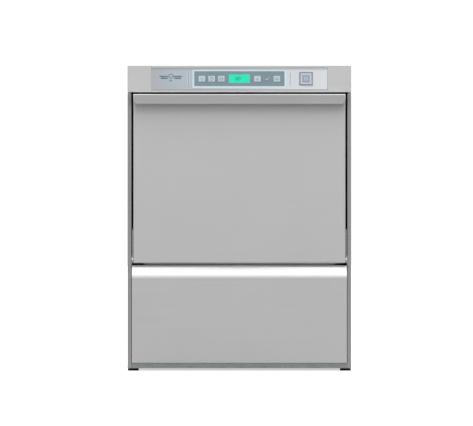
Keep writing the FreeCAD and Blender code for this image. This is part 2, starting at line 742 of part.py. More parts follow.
def make_top_cover():
    """The worktop hood, on two stiffeners that stand on the side panels."""
    front = fascia_back + skin / 2
    rear_apron = half_width - side_return - 1
    adds = [
        block("cover_sheet", (-half_width, half_width), (front, rear_edge), (height - skin, height)),
        block("cover_front", (-half_width, half_width), (front, front + skin),
              (side_top + cover_seam, height)),
        block("cover_rear", (-half_width, half_width), (rear_edge - skin, rear_edge),
              (side_top + cover_seam, height)),
        block("cover_apron", (-rear_apron, rear_apron), (rear_edge - skin, rear_edge),
              (side_top - side_return, height)),
    ]
    for side, sign in SIDES.items():
        outer = sign * half_width
        adds.append(block(f"cover_{side}", (outer, outer - sign * skin), (front, rear_edge),
                          (side_top + cover_seam, height)))
    stiffeners = [
        block(f"stiffener_{number}", (-base_half, base_half), (start, start + plate),
              (side_top, height - skin))
        for number, start in enumerate((front + 60, front + 90, rear_edge - 100, rear_edge - 70), 1)
    ]
    return several("top_cover", fuse("cover_hood", *adds), *stiffeners)


def make_lower_front_panel():
    """The folded panel under the door, with its sloping top."""
    body = start_body("lower_front_panel")
    half = half_width - side_return - panel_side_gap
    rear = door_face + panel_depth
    knee = panel_top - slope_height
    outer = [(door_face, panel_bottom), (rear, panel_bottom), (rear, panel_top),
             (door_face + slope_depth, panel_top), (door_face, knee)]
    inner = [(door_face + skin, panel_bottom + skin), (rear + 5, panel_bottom + skin),
             (rear + 5, panel_top - skin),
             (door_face + slope_depth + skin / 2, panel_top - skin), (door_face + skin, knee - skin / 4)]
    pad(body, "panel_block", "YZ_Plane", 2 * half, loops=[outer], both_ways=True)
    pocket(body, "panel_inside", "YZ_Plane", 2 * (half - skin), loops=[inner], both_ways=True)
    return body


def make_door_posts():
    """The two front posts, notched where the hinge blocks sit."""
    posts = []
    for side, sign in SIDES.items():
        outer = sign * base_half
        folded = fuse(
            f"post_{side}_folded",
            block(f"post_{side}_web", (outer, sign * base_inside), (base_front, base_front + 2 * post_width),
                  (panel_bottom, fascia_bottom)),
            block(f"post_{side}_flange", (outer, sign * (half_width - side_return + 1)),
                  (base_front, base_front + plate), (panel_bottom, fascia_bottom)),
        )
        notch = block(f"post_{side}_notch", (sign * base_inside, sign * (door_half + 1)),
                      (base_front - 1, base_front + plate + 1), hinge_block_height)
        posts.append(cut(f"post_{side}", folded, notch))
    return several("door_posts", *posts)


def make_hinge_blocks():
    """The two blocks that hold the hinge pins."""
    blocks = []
    for side, sign in SIDES.items():
        ends = (sign * (door_half + arm_gap + arm_plate + 0.8), sign * base_inside)
        solid = block(f"hinge_block_{side}_solid", ends, (base_front, base_front + 20), hinge_block_height)
        bore = rod(f"hinge_block_{side}_bore", "X", (hinge_y, hinge_height),
                   (ends[0] - sign, ends[1] + sign), pin_radius)
        blocks.append(cut(f"hinge_block_{side}", solid, bore))
    return several("hinge_blocks", *blocks)


def make_hinge_pins():
    """The two stub pins that the door turns on."""
    return several("hinge_pins", *(
        rod(f"hinge_pin_{side}", "X", (hinge_y, hinge_height),
            (sign * (door_half + 0.3), sign * base_inside), pin_radius)
        for side, sign in SIDES.items()
    ))


def make_panel_screws():
    """The screws that hold the rear panel to the rear posts."""
    screws = []
    for row, screw_z in SCREW_ROWS.items():
        for side, sign in SIDES.items():
            across = (sign * screw_x, screw_z)
            screws.append(fuse(
                f"screw_{row}_{side}",
                rod(f"screw_{row}_{side}_head", "Y", across, (base_rear, rear_edge), 2 * screw_radius),
                rod(f"screw_{row}_{side}_stem", "Y", across, (base_rear - 8, base_rear), screw_radius),
            ))
    return several("panel_screws", *screws)


# ---------------------------------------------------------------- door
def make_door_outer_skin():
    """The door's outer sheet, rounded along its lower front edge, with the overhanging handle lip."""
    body = start_body("door_outer_skin")
    rear = door_back
    outer = [(door_face, door_bottom), (rear, door_bottom), (rear, door_top), (door_face, door_top)]
    inner = [(door_face + skin, door_bottom + skin), (rear + 5, door_bottom + skin),
             (rear + 5, door_top - skin),
             (door_face + skin, door_top - skin)]
    pad(body, "door_block", "YZ_Plane", 2 * door_half, loops=[outer], both_ways=True)
    pocket(body, "door_inside", "YZ_Plane", 2 * (door_half - skin), loops=[inner], both_ways=True)
    fillet(body, "door_round_inside", door_round - skin,
           lambda edge: along("x")(edge) and edge.BoundBox.ZMax < float(door_bottom + skin) + 0.1
           and abs(edge.BoundBox.YMin - float(door_face + skin)) < 0.1)
    fillet(body, "door_round_outside", door_round,
           lambda edge: along("x")(edge) and edge.BoundBox.YMax < float(door_face) + 0.1
           and edge.BoundBox.ZMax < float(door_bottom) + 0.1)
    hem_back = lip_front + skin + 2 * lip_hem
    lip = [(door_face + skin / 2, door_top), (lip_front, door_top),
           (lip_front, door_top - lip_height + lip_hem),
           (lip_front + lip_hem / 2, door_top - lip_height), (hem_back - lip_hem / 2, door_top - lip_height),
           (hem_back, door_top - lip_height + lip_hem), (hem_back, door_top - lip_height + 2 * lip_hem),
           (lip_front + skin, door_top - lip_height + 2 * lip_hem), (lip_front + skin, door_top - skin),
           (door_face + skin / 2, door_top - skin)]
    pad(body, "lip_fold", "YZ_Plane", 2 * door_half, loops=[lip], both_ways=True)
    tapers = []
    for sign in SIDES.values():
        edge = sign * door_half
        tapers.append([(edge, door_top - skin), (edge + sign * 5, door_top - skin),
                       (edge + sign * 5, door_top - lip_height - 1),
                       (edge - sign * lip_taper, door_top - lip_height - 1)])
    pocket(body, "lip_tapers", "XZ_Plane", lip_reach + 5, loops=tapers, offset=-(door_face - 0.5),
           backwards=True)
    return body


def make_door_inner_skin():
    """The door's inner pan, folded forwards at its edges, with a raised field."""
    body = start_body("door_inner_skin")
    half = door_half - skin
    low = door_bottom + skin + sheet_gap
    high = door_top - skin - sheet_gap
    pad(body, "pan_block", "XZ_Plane", pan_fold, offset=-door_back,
        loops=[rectangle((-half, half), (low, high))])
    field = rectangle((-(half - pan_margin), half - pan_margin), (low + pan_margin, high - pan_margin))
    pad(body, "pan_field", "XZ_Plane", pan_depth, offset=-door_back, loops=[field], backwards=True)
    fillet(body, "pan_corners", 20,
           lambda edge: along("y")(edge) and edge.BoundBox.YMax > float(door_back) + 0.5)
    fillet(body, "pan_press", pan_depth * 0.8,
           lambda edge: edge.BoundBox.YMin > float(door_back + pan_depth) - 0.1)
    inside = rectangle((-(half - skin), half - skin), (low + skin, high - skin))
    pocket(body, "pan_inside", "XZ_Plane", pan_fold + 1, offset=-(door_back - skin), loops=[inside],
           backwards=True)
    return body


def make_door_insulation():
    """The insulating board between the door's skins."""
    half = door_half - 3 * skin
    return block("door_insulation", (-half, half), (door_face + skin, door_back - 1.5 * skin),
                 (hinge_height, door_top - 3 * skin))


def make_hinge_arms():
    """The plates on the door's edges that turn on the hinge pins and pull the springs."""
    arms = []
    for side, sign in SIDES.items():
        ends = (sign * (door_half + arm_gap), sign * (door_half + arm_gap + arm_plate))
        bar = (hinge_y + 2, hinge_y + 2 + arm_bar)
        lever = (hinge_height - arm_bar / 3, hinge_height + arm_bar / 3)
        spacers = [
            rod(f"arm_{side}_spacer_{number}", "X", ((bar[0] + bar[1]) / 2, hinge_height + rise),
                (sign * door_half, ends[0]), 5)
            for number, rise in enumerate((arm_rise * 0.35, arm_rise * 0.85), 1)
        ]
        plate_solid = fuse(
            f"arm_{side}_plate",
            rod(f"arm_{side}_boss", "X", (hinge_y, hinge_height), ends, hinge_setback),
            block(f"arm_{side}_bar", ends, bar, (hinge_height, hinge_height + arm_rise)),
            block(f"arm_{side}_lever", ends, (hinge_y, spring_y), lever),
            rod(f"arm_{side}_tip", "X", (spring_y, hinge_height), ends, arm_bar / 3),
            *spacers,
        )
        through = (ends[0] - sign, ends[1] + sign)
        arms.append(cut(
            f"arm_{side}", plate_solid,
            rod(f"arm_{side}_bore", "X", (hinge_y, hinge_height), through, pin_radius + running_gap),
            rod(f"arm_{side}_hook_hole", "X", (spring_y, hinge_height), through, hook_hole),
        ))
    return several("hinge_arms", *arms)


def make_door_springs():
    """The springs that balance the door: a coil between two hooks."""
    springs = []
    for side, sign in SIDES.items():
        middle = sign * spring_x
        across = (middle, spring_y)
        springs.append(fuse(
            f"spring_{side}",
            ring(f"spring_{side}_hook", (middle, spring_y, ring_z), spring_radius, spring_wire),
            tube(f"spring_{side}_coil", "Z", across, (coil_bottom, coil_top),
                 spring_radius + spring_wire, spring_radius - spring_wire),
            rod(f"spring_{side}_end", "Z", across, (coil_bottom - 2 * spring_wire, coil_bottom),
                spring_radius + spring_wire),
            rod(f"spring_{side}_rod", "Z", across,
                (anchor_z + 2 * spring_radius - spring_wire / 2, coil_bottom - spring_wire),
                spring_wire),
            ring(f"spring_{side}_anchor", (middle, spring_y, anchor_z + spring_radius), spring_radius,
                 spring_wire),
        ))
    return several("door_springs", *springs)


# ---------------------------------------------------------------- wash chamber and tank
def shell_block(name, half, lengthways, heights, radius, grow, picked):
    """A box about the middle in X with its picked edges rounded, grown outwards by a wall."""
    low, high = heights
    front, back = lengthways
    solid = block(f"{name}_block", (-(half + grow), half + grow), (front, back), (low, high))
    return rounded(name, solid, radius, picked)


def make_wash_chamber():
    """The chamber: coved walls, a threshold and a flange round the front opening."""

    def not_at_front(edge):
        return edge.BoundBox.YMax > float(chamber_front) + 1

    outside = shell_block("chamber_outside", chamber_half, (chamber_front, chamber_back + wall),
                          (chamber_floor - wall, chamber_top + wall), cove + wall, wall, not_at_front)
    inside = shell_block("chamber_inside", chamber_half, (chamber_front - over, chamber_back),
                         (chamber_floor, chamber_top), cove, 0, not_at_front)
    front_ends = (chamber_front, chamber_front + wall)
    face = fuse(
        "chamber_face_solid",
        block("chamber_flange", (-flange_half, flange_half), front_ends,
              (threshold - threshold_drop, flange_top)),
        block("chamber_threshold", (-(chamber_half - cove), chamber_half - cove), front_ends,
              (chamber_floor, threshold)),
        block("threshold_sides", (-chamber_half, chamber_half), front_ends,
              (chamber_floor + cove, threshold)),
    )

    def upper_corner(edge):
        return along("y")(edge) and edge.BoundBox.ZMin > float(threshold) + 1

    def lower_corner(edge):
        return along("y")(edge) and edge.BoundBox.ZMax < float(threshold) + 1

    mouth = shell_block("chamber_opening", chamber_half, (chamber_front - over, chamber_front + over),
                        (threshold, chamber_top), cove, 0, upper_corner)
    opening = rounded("chamber_mouth", mouth, mouth_round, lower_corner)
    tank_opening = shell_block("chamber_tank_opening", tank_half, (tank_front, tank_back),
                               (chamber_floor - over, chamber_floor + over), tank_cove, 0, along("z"))
    post_hole = rod("chamber_post_hole", "Z", (0, middle_y), (chamber_top - 1, chamber_top + wall + 1),
                    post_radius)
    walls = cut("chamber_walls", outside, inside, tank_opening, post_hole)
    behind_face = block("behind_face", (-flange_half, flange_half), front_ends,
                        (chamber_floor - over, chamber_top + over))
    bend = chamber_half - cove
    columns = [(-flange_half, -bend), (-bend, bend), (bend, flange_half)]
    front_rows = [(chamber_floor, threshold + mouth_round), (threshold + mouth_round, chamber_top - cove),
                  (chamber_top - cove, flange_top)]
    box_layers = [(chamber_front, chamber_back - cove), (chamber_back - cove, rear_edge)]
    box_rows = [(chamber_floor - over, chamber_floor + cove), (chamber_floor + cove, chamber_top - cove),
                (chamber_top - cove, chamber_top + over)]
    inner_half = tank_half - tank_cove
    floor_columns = [(-bend, -inner_half), (-inner_half, inner_half), (inner_half, bend)]
    floor_layers = [(chamber_front, tank_front + tank_cove), (tank_front + tank_cove, tank_back - tank_cove),
                    (tank_back - tank_cove, chamber_back - cove)]
    front = cut("chamber_front", face, opening)
    box = cut("chamber_box", walls, behind_face)
    return several(
        "wash_chamber",
        *panels_of("chamber_face", front, columns, [front_ends], front_rows, {(1, 0, 1)}),
        *panels_of("chamber_wall", box, columns, box_layers, box_rows, {(1, 0, 1), (1, 0, 0)}),
        *panels_of("chamber_floor", box, floor_columns, floor_layers, box_rows[:1], {(1, 1, 0)}),
    )


def panels_of(name, base, columns, layers, rows, open_cells):
    """A shape as the welded panels and strips of a grid, without the grid's open cells."""
    panels = []
    for cell_number in itertools.product(range(len(columns)), range(len(layers)), range(len(rows))):
        if cell_number in open_cells:
            continue
        column, layer, row = cell_number
        label = f"{name}_{column}{layer}{row}"
        panel = doc.addObject("Part::Common", label)
        panel.Base = base
        panel.Tool = block(f"{label}_bounds", columns[column], layers[layer], rows[row])
        panels.append(panel)
    return panels


def make_wash_tank():
    """The tank under the chamber, with a flange at its top and two spigots below."""

    def not_at_top(edge):
        return edge.BoundBox.ZMin < float(chamber_floor) - 3

    flange_top_z = chamber_floor - wall
    outside = shell_block("tank_outside", tank_half, (tank_front - wall, tank_back + wall),
                          (under_tank, flange_top_z), tank_cove + wall, wall, not_at_top)
    inside = shell_block("tank_inside", tank_half, (tank_front, tank_back),
                         (tank_bottom, chamber_floor), tank_cove, 0, not_at_top)
    lip = flange_height
    flange = block("tank_flange", (-(tank_half + lip), tank_half + lip), (tank_front - lip, tank_back + lip),
                   (flange_top_z - wall, flange_top_z))
    solid = fuse("tank_solid", outside, flange)
    spigots = fuse(
        "tank_spigots",
        rod("suction_spigot", "Z", (pump_x, suction_y), (post_foot, tank_bottom), suction_radius),
        rod("drain_spigot", "Z", (drain_x, drain_y), (post_foot, tank_bottom), spigot_radius + 5),
    )
    heater_ends = (-(tank_half + 5), -(tank_half - tank_cove / 2))
    return cut(
        "wash_tank",
        fuse("tank_with_spigots", cut("tank_walls", solid, inside), spigots),
        rod("suction_way", "Z", (pump_x, suction_y), (post_foot - 1, tank_bottom + 1),
            suction_radius - pipe_wall),
        rod("drain_way", "Z", (drain_x, drain_y), (post_foot - 1, tank_bottom + 1),
            spigot_radius + 5 - pipe_wall),
        rod("tank_post_hole", "Z", (0, middle_y), (under_tank - 1, tank_bottom + 1), post_radius),
        *(rod(f"heater_hole_{number}", "X", (leg_y, heater_z), heater_ends, heater_radius)
          for number, leg_y in enumerate(heater_legs(middle_y), 1)),
    )


def make_door_gasket():
    """The seal on the chamber's flange: two legs and a top run."""
    outer = chamber_half + 4 + gasket_width
    inner = chamber_half + 4
    top = chamber_top + 2 + gasket_width
    ends = (door_back + gasket_relief, chamber_front)
    return cut(
        "door_gasket",
        block("gasket_block", (-outer, outer), ends, (threshold + 6, top)),
        block("gasket_inside", (-inner, inner), (ends[0] - 1, ends[1] + 1), (threshold, top - gasket_width)),
    )


def make_rack_rails():
    """The angled rails on the chamber's side walls that carry the rack."""
    rails = []
    reach = (chamber_front + 8, chamber_back - cove)
    for side, sign in SIDES.items():
        at_wall = sign * chamber_half
        rails.append(fuse(
            f"rail_{side}",
            block(f"rail_{side}_shelf", (at_wall, sign * (chamber_half - rail_width)), reach,
                  (rack_plane - wall, rack_plane)),
            block(f"rail_{side}_web", (at_wall, sign * (chamber_half - wall)), reach,
                  (rack_plane - 30, rack_plane)),
        ))
    return several("rack_rails", *rails)


def slot_tool(name, x, y, heights):
    """A slot's cutter: a block between two round ends along Y."""
    half = slot_length / 2
    return fuse(
        name,
        block(f"{name}_middle", (x - slot_radius, x + slot_radius), (y - half, y + half), heights),
        rod(f"{name}_front", "Z", (x, y - half), heights, slot_radius),
        rod(f"{name}_rear", "Z", (x, y + half), heights, slot_radius),
    )


def make_tank_strainers():
    """Two slotted plates over the tank. The left one holds the basket."""
    plates = []
    heights = (chamber_floor - 1, strainer_top + 1)
    outer = tank_half + strainer_lap
    reach = (tank_front - strainer_lap, tank_back + strainer_lap)
    for side, sign in SIDES.items():
        holes = [rod(f"strainer_{side}_post_hole", "Z", (0, middle_y), heights, 2 * post_radius)]
        if side == "left":
            holes.append(rod("strainer_basket_hole", "Z", (basket_x, basket_y), heights,
                             basket_radius + basket_gap))
        for row in range(3):
            for column in range(4):
                slot_x = sign * (60 + column * (tank_half - 90) / 3)
                slot_y = middle_y + 40 + row * 55
                holes.append(slot_tool(f"slot_{side}_{row}{column}", slot_x, slot_y, heights))
        plates.append(cut(
            f"strainer_{side}",
            block(f"strainer_{side}_plate", (sign * 0.5, sign * outer), reach,
                  (chamber_floor, strainer_top)),
            *holes,
        ))
    return several("tank_strainers", *plates)


def make_strainer_basket():
    """The lift-out basket with its bail handle."""
    top = strainer_top + wall
    bottom = strainer_top - basket_depth
    across = (basket_x, basket_y)
    cup = cut(
        "basket_cup",
        fuse(
            "basket_solid",
            rod("basket_drum", "Z", across, (bottom, top), basket_radius),
            rod("basket_flange", "Z", across, (strainer_top, top), basket_radius + rim_width),
        ),
        rod("basket_inside", "Z", across, (bottom + wall, top + 1), basket_radius - wall),
    )
    foot = basket_radius - wall - handle_wire
    handle = pipe("basket_handle", [
        (basket_x - foot, basket_y, bottom + handle_foot),
        (basket_x - foot, basket_y, top + handle_rise),
        (basket_x + foot, basket_y, top + handle_rise),
        (basket_x + foot, basket_y, bottom + handle_foot),
    ], 8, handle_wire)
    return several("strainer_basket", cup, handle)


# ---------------------------------------------------------------- spray system
def wing_loop(hub_half, tip_half, reach):
    """An arm's outline from tip to tip, wider at its hub."""
    return [(-reach, -tip_half), (0, -hub_half), (reach, -tip_half), (reach, tip_half), (0, hub_half),
            (-reach, tip_half)]


def make_arm(name, heights, widths, hub, jet, z, upside_down):
    """A hollow spray arm: tapering wings, a hub and a row of jets along each wing's upper face."""
    wing_height, rise, fall = heights
    hub_half, tip_half = widths
    body = start_body(name)
    pad(body, f"{name}_wings", "XY_Plane", wing_height, loops=[wing_loop(hub_half, tip_half, arm_reach)])
    fillet(body, f"{name}_edges", wing_height * 0.3, lambda edge: abs(edge.BoundBox.ZLength) < 0.01)
    pad(body, f"{name}_hub", "XY_Plane", wing_height + rise + fall, circles=[(0, 0, hub)], offset=-fall)
    hollow = wing_loop(hub_half - 3, tip_half - 3, arm_reach - 4)
    pocket(body, f"{name}_hollow", "XY_Plane", wing_height - 2 * pipe_wall, loops=[hollow], offset=pipe_wall,
           backwards=True)
    pocket(body, f"{name}_bore", "XY_Plane", 4 * hub, circles=[(0, 0, post_radius + running_gap)],
           both_ways=True)
    spots = []
    for step in range(int(float(jet_count))):
        distance = hub + first_jet + step * (arm_reach - hub - first_jet - last_jet) / (jet_count - 1)
        spots += [(distance, 0, jet), (-distance, 0, jet)]
    pocket(body, f"{name}_jets", "XY_Plane", 2 * pipe_wall, circles=spots, offset=wing_height + 1)
    if upside_down:
        body.Placement = Placement(Vector(), Rotation(Vector(0, 1, 0), 180))
    return place(body, 0, middle_y, z)


def make_wash_arm(name, z, upside_down):
    """A wash arm, with its larger jets."""
    return make_arm(name, (wash_arm_height, hub_rise, hub_fall), (17, 11), hub_radius, jet_radius, z,
                    upside_down)


def make_rinse_arm(name, z, upside_down):
    """A rinse arm, with its fine jets."""
    return make_arm(name, (rinse_arm_height, size(1), size(0)), (10, 7), hub_radius - 2, rinse_jet_radius, z,
                    upside_down)


def make_spray_posts():
    """The hollow posts that the arms turn on, each with a collar behind its arms."""
    across = (0, middle_y)
    lower = (post_foot, lower_nut_z + nut_height)
    upper = (chamber_top + wall + post_stub, upper_nut_z - nut_height)
    collar_low = lower_arm_z - hub_fall - stack_gap
    collar_high = upper_arm_z + hub_fall + stack_gap
    posts = []
    for name, ends, collar in (
        ("lower_post", lower, (collar_low - 6, collar_low)),
        ("upper_post", upper, (collar_high, chamber_top)),
    ):
        solid = fuse(
            f"{name}_solid",
            rod(f"{name}_rod", "Z", across, ends, post_radius),
            rod(f"{name}_collar", "Z", across, collar, post_radius + 4),
        )
        low, high = span(*ends)
        posts.append(cut(name, solid, rod(f"{name}_way", "Z", across, (low - 1, high + 1), post_bore)))
    return several("spray_posts", *posts)


def make_arm_nuts():
    """The six-sided nuts that keep the arms on their posts."""
    nuts = []
    for name, z in (("lower_nut", lower_nut_z), ("upper_nut", upper_nut_z - nut_height)):
        body = start_body(name)
        corners = [
            (nut_radius * math.cos(math.radians(60 * corner)),
             nut_radius * math.sin(math.radians(60 * corner)))
            for corner in range(6)
        ]
        pad(body, f"{name}_prism", "XY_Plane", nut_height, loops=[corners])
        pocket(body, f"{name}_bore", "XY_Plane", 3 * nut_height, circles=[(0, 0, post_radius)],
               both_ways=True)
        nuts.append(place(body, 0, middle_y, z))
    return several("arm_nuts", *nuts)


def make_riser_duct():
    """The pipe that carries water up behind the chamber and down to the upper arms."""
    return pipe("riser_duct", [
        (0, riser_y, manifold_z + 40),
        (0, riser_y, riser_top),
        (0, middle_y, riser_top),
        (0, middle_y, chamber_top + wall + post_stub),
    ], riser_bend, riser_radius, riser_radius - pipe_wall)


# ---------------------------------------------------------------- pumps
def make_wash_pump_casing():
    """The wash pump's round casing, with an outlet below and an inlet at the rear."""
    axis = (pump_x, pump_z)
    inlet_end = volute_back + 12
    return cut(
        "wash_pump_casing",
        fuse(
            "casing_solid",
            rod("casing_drum", "Y", axis, (volute_front, volute_back), volute_radius),
            rod("casing_inlet", "Y", axis, (volute_back - 2, inlet_end), suction_radius),
            rod("casing_outlet", "X", (outlet_y, manifold_z), (outlet_x, pump_x), delivery_radius),
        ),
        rod("casing_inside", "Y", axis, (volute_front + volute_wall, volute_back - volute_wall),
            volute_radius - volute_wall),
        rod("casing_inlet_way", "Y", axis, (outlet_y, inlet_end + 1), suction_radius - pipe_wall),
        rod("casing_outlet_way", "X", (outlet_y, manifold_z), (outlet_x - 1, pump_x),
            delivery_radius - pipe_wall),
        rod("casing_shaft_hole", "Y", axis, (volute_front - 1, outlet_y), shaft_radius + running_gap),
    )


def make_wash_pump_motor():
    """The motor's housing on its foot, and the stator inside it."""
    axis = (pump_x, pump_z)
    housing_wall = volute_wall
    housing = cut(
        "motor_housing",
        fuse(
            "motor_solid",
            rod("motor_drum", "Y", axis, (motor_front, volute_front), motor_radius),
            block("motor_foot", (pump_x - 35, pump_x + 35), (motor_front + 50, motor_front + 100),
                  (tray_top, pump_z)),
        ),
        rod("motor_inside", "Y", axis, (motor_front + housing_wall, volute_front - housing_wall),
            motor_radius - housing_wall),
        rod("motor_shaft_hole", "Y", axis, (motor_front + housing_wall, volute_front + 1),
            shaft_radius + running_gap),
    )
    stator = tube("motor_stator", "Y", axis, (motor_front + 30, volute_front - 30),
                  motor_radius - housing_wall, stator_radius)
    return several("wash_pump_motor", housing, stator)


def make_wash_pump_rotor():
    """Shaft, rotor core, cooling fan and impeller in one piece."""
    axis = (pump_x, pump_z)
    impeller = (volute_front + volute_wall + 3, volute_back - volute_wall - 3)
    fan_front = motor_front + volute_wall + 4
    solids = [
        rod("rotor_shaft", "Y", axis, (fan_front, impeller[1]), shaft_radius),
        rod("rotor_core", "Y", axis, (motor_front + 32, volute_front - 32), stator_radius - 1),
        rod("rotor_fan_disc", "Y", axis, (fan_front, fan_front + 2), 28),
        rod("rotor_impeller_disc", "Y", axis, (impeller[0], impeller[0] + 3),
            volute_radius - volute_wall - 8),
    ]
    for number in range(VANES):
        turn = number * 360 / VANES
        solids += [
            vane(f"impeller_vane_{number}", "Y", (pump_x, impeller[0], pump_z), turn,
                 volute_radius - volute_wall - 10, 3, impeller[1] - impeller[0]),
            vane(f"fan_vane_{number}", "Y", (pump_x, fan_front, pump_z), turn, 40, 2, size(16)),
        ]
    return fuse("wash_pump_rotor", *solids)


def make_pump_hoses():
    """The suction elbow, and the delivery pipe with its branches to both spray posts."""
    elbow = pipe("suction_elbow", [
        (pump_x, suction_y, post_foot),
        (pump_x, suction_y, pump_z),
        (pump_x, volute_back + 12, pump_z),
    ], elbow_bend, suction_radius, suction_radius - pipe_wall)

    def branches(name, inset):
        main_radius = delivery_radius + 2
        ends = (middle_y - main_radius - 2 + inset, riser_y + delivery_radius - inset)
        return fuse(
            name,
            rod(f"{name}_along", "Y", (0, manifold_z), ends, main_radius - inset),
            rod(f"{name}_to_lower", "Z", (0, middle_y), (manifold_z, post_foot), post_radius + 1 - inset),
            rod(f"{name}_to_riser", "Z", (0, riser_y), (manifold_z, manifold_z + 40), riser_radius - inset),
            rod(f"{name}_from_pump", "X", (outlet_y, manifold_z), (0, outlet_x), delivery_radius - inset),
        )

    delivery = cut("delivery_pipe", branches("delivery_outside", 0), branches("delivery_inside", pipe_wall))
    return several("pump_hoses", elbow, delivery)


def make_drain_pump():
    """The drain pump: a round casing under the tank with its motor below."""
    across = (drain_x, drain_y)
    motor_bottom = drain_base - 60
    motor_wall = size(3)
    neck_radius = spigot_radius + 5
    casing = cut(
        "drain_casing",
        fuse(
            "drain_casing_solid",
            rod("drain_drum", "Z", across, (drain_base, drain_top), drain_radius),
            rod("drain_neck", "Z", across, (drain_top - 1, post_foot), neck_radius),
            rod("drain_outlet_pipe", "Y", (drain_outlet_x, drain_outlet_z), (drain_y, drain_y + 45),
                spigot_radius),
        ),
        rod("drain_inside", "Z", across, (drain_base + motor_wall, drain_top - motor_wall),
            drain_radius - motor_wall),
        rod("drain_neck_way", "Z", across, (drain_outlet_z, post_foot + 1), neck_radius - pipe_wall),
        rod("drain_outlet_way", "Y", (drain_outlet_x, drain_outlet_z), (drain_y, drain_y + 46),
            spigot_radius - pipe_wall),
        rod("drain_shaft_hole", "Z", across, (drain_base - 1, drain_outlet_z), drain_shaft + running_gap),
    )
    motor = cut(
        "drain_motor",
        rod("drain_motor_drum", "Z", across, (motor_bottom, drain_base), drain_radius - 7),
        rod("drain_motor_inside", "Z", across, (motor_bottom + motor_wall, drain_base - motor_wall),
            drain_radius - 7 - motor_wall),
        rod("drain_motor_hole", "Z", across, (drain_base - 10, drain_base + 1), drain_shaft + running_gap),
    )
    return several("drain_pump", casing, motor)


def make_drain_pump_rotor():
    """The drain pump's shaft, core and impeller."""
    across = (drain_x, drain_y)
    solids = [
        rod("drain_shaft_rod", "Z", across, (drain_base - 50, drain_base + 14), drain_shaft),
        rod("drain_core", "Z", across, (drain_base - 45, drain_base - 10), 14),
        rod("drain_disc", "Z", across, (drain_base + 5, drain_base + 7), drain_radius - 8),
    ]
    for number in range(VANES):
        solids.append(vane(f"drain_vane_{number}", "Z", (drain_x, drain_y, drain_base + 5),
                           number * 360 / VANES, drain_radius - 9, 2, size(14)))
    return fuse("drain_pump_rotor", *solids)


def make_drain_hose():
    """The hose from the drain pump down and out through the connection plate."""
    hose = pipe("drain_hose_run", [
        (drain_outlet_x, drain_y + 45, drain_outlet_z),
        (drain_outlet_x, drain_y + 45 + 2 * hose_bend, drain_outlet_z),
        (drain_outlet_x, drain_y + 45 + 2 * hose_bend, connection_z),
        (drain_outlet_x, stub_end, connection_z),
    ], hose_bend, spigot_radius, spigot_radius - pipe_wall)
    collar = tube("drain_collar", "Y", (drain_outlet_x, connection_z), (plate_y - 4, plate_y + plate),
                  spigot_radius + shoulder, spigot_radius - pipe_wall / 2)
    return fuse("drain_hose", hose, collar)


def make_dosing_pumps():
    """The housings of the two dosing pumps, on their brackets."""
    pumps = []
    back = doser_front + doser_depth
    for name, doser_x in DOSERS.items():
        axis = (doser_x, doser_z)
        pumps.append(cut(
            f"{name}_doser",
            fuse(
                f"{name}_doser_solid",
                block(f"{name}_doser_case", (doser_x - doser_half, doser_x + doser_half),
                      (doser_front, back),
                      (doser_z - doser_half, doser_z + doser_half)),
                block(f"{name}_doser_bracket", (doser_x - 18, doser_x + 18), (back, back + plate),
                      (tray_top, doser_z + doser_half)),
            ),
            rod(f"{name}_doser_cup", "Y", axis, (doser_front - 1, back - 10), doser_cup),
            rod(f"{name}_doser_bearing", "Y", axis, (back - 11, back - 4), drain_shaft + running_gap),
        ))
    return several("dosing_pumps", *pumps)


def make_dosing_rotor(name, doser_x):
    """Two discs with rollers between them that squeeze the dosing hose."""
    axis_y = doser_front + 3
    back = doser_front + doser_depth - 13
    axis = (doser_x, doser_z)
    solids = [
        rod(f"{name}_rotor_shaft", "Y", axis, (axis_y, back + 8), drain_shaft),
        rod(f"{name}_rotor_front", "Y", axis, (axis_y, axis_y + 3), doser_cup - 5),
        rod(f"{name}_rotor_rear", "Y", axis, (back - 3, back), doser_cup - 5),
    ]
    for number in range(3):
        turn = math.radians(120 * number)
        roller = (doser_x + (doser_cup - 9) * math.sin(turn), doser_z + (doser_cup - 9) * math.cos(turn))
        solids.append(rod(f"{name}_roller_{number}", "Y", roller, (axis_y, back), 5))
    return fuse(f"{name}_dosing_rotor", *solids)


# ---------------------------------------------------------------- heating and connections
def make_boiler():
    """The rinse boiler's closed shell, and the two saddles it lies on."""
    axis = (boiler_x, boiler_z)
    ends = (boiler_front, boiler_front + boiler_length)
    shell = cut(
        "boiler_shell",
        rod("boiler_drum", "Y", axis, ends, boiler_radius),
        rod("boiler_inside", "Y", axis, (ends[0] + 3, ends[1] - 3), boiler_radius - 3),
        *(rod(f"boiler_heater_hole_{number}", "Y", (leg_x, boiler_z), (ends[0] - 1, ends[0] + 4),
              heater_radius)
          for number, leg_x in enumerate(heater_legs(boiler_x), 1)),
    )
    saddles = []
    for number, start in enumerate((ends[0] + 40, ends[1] - 60), 1):
        solid = block(f"saddle_{number}_block", (boiler_x - 50, boiler_x + 50), (start, start + 20),
                      (tray_top, boiler_z - boiler_radius / 2))
        bed = rod(f"saddle_{number}_bed", "Y", axis, (start - 1, start + 21), boiler_radius)
        saddles.append(cut(f"saddle_{number}", solid, bed))
    return several("boiler", shell, *saddles)


def heater_legs(middle):
    """Where the two legs of a heating element lie."""
    return (middle - heater_span / 2, middle + heater_span / 2)


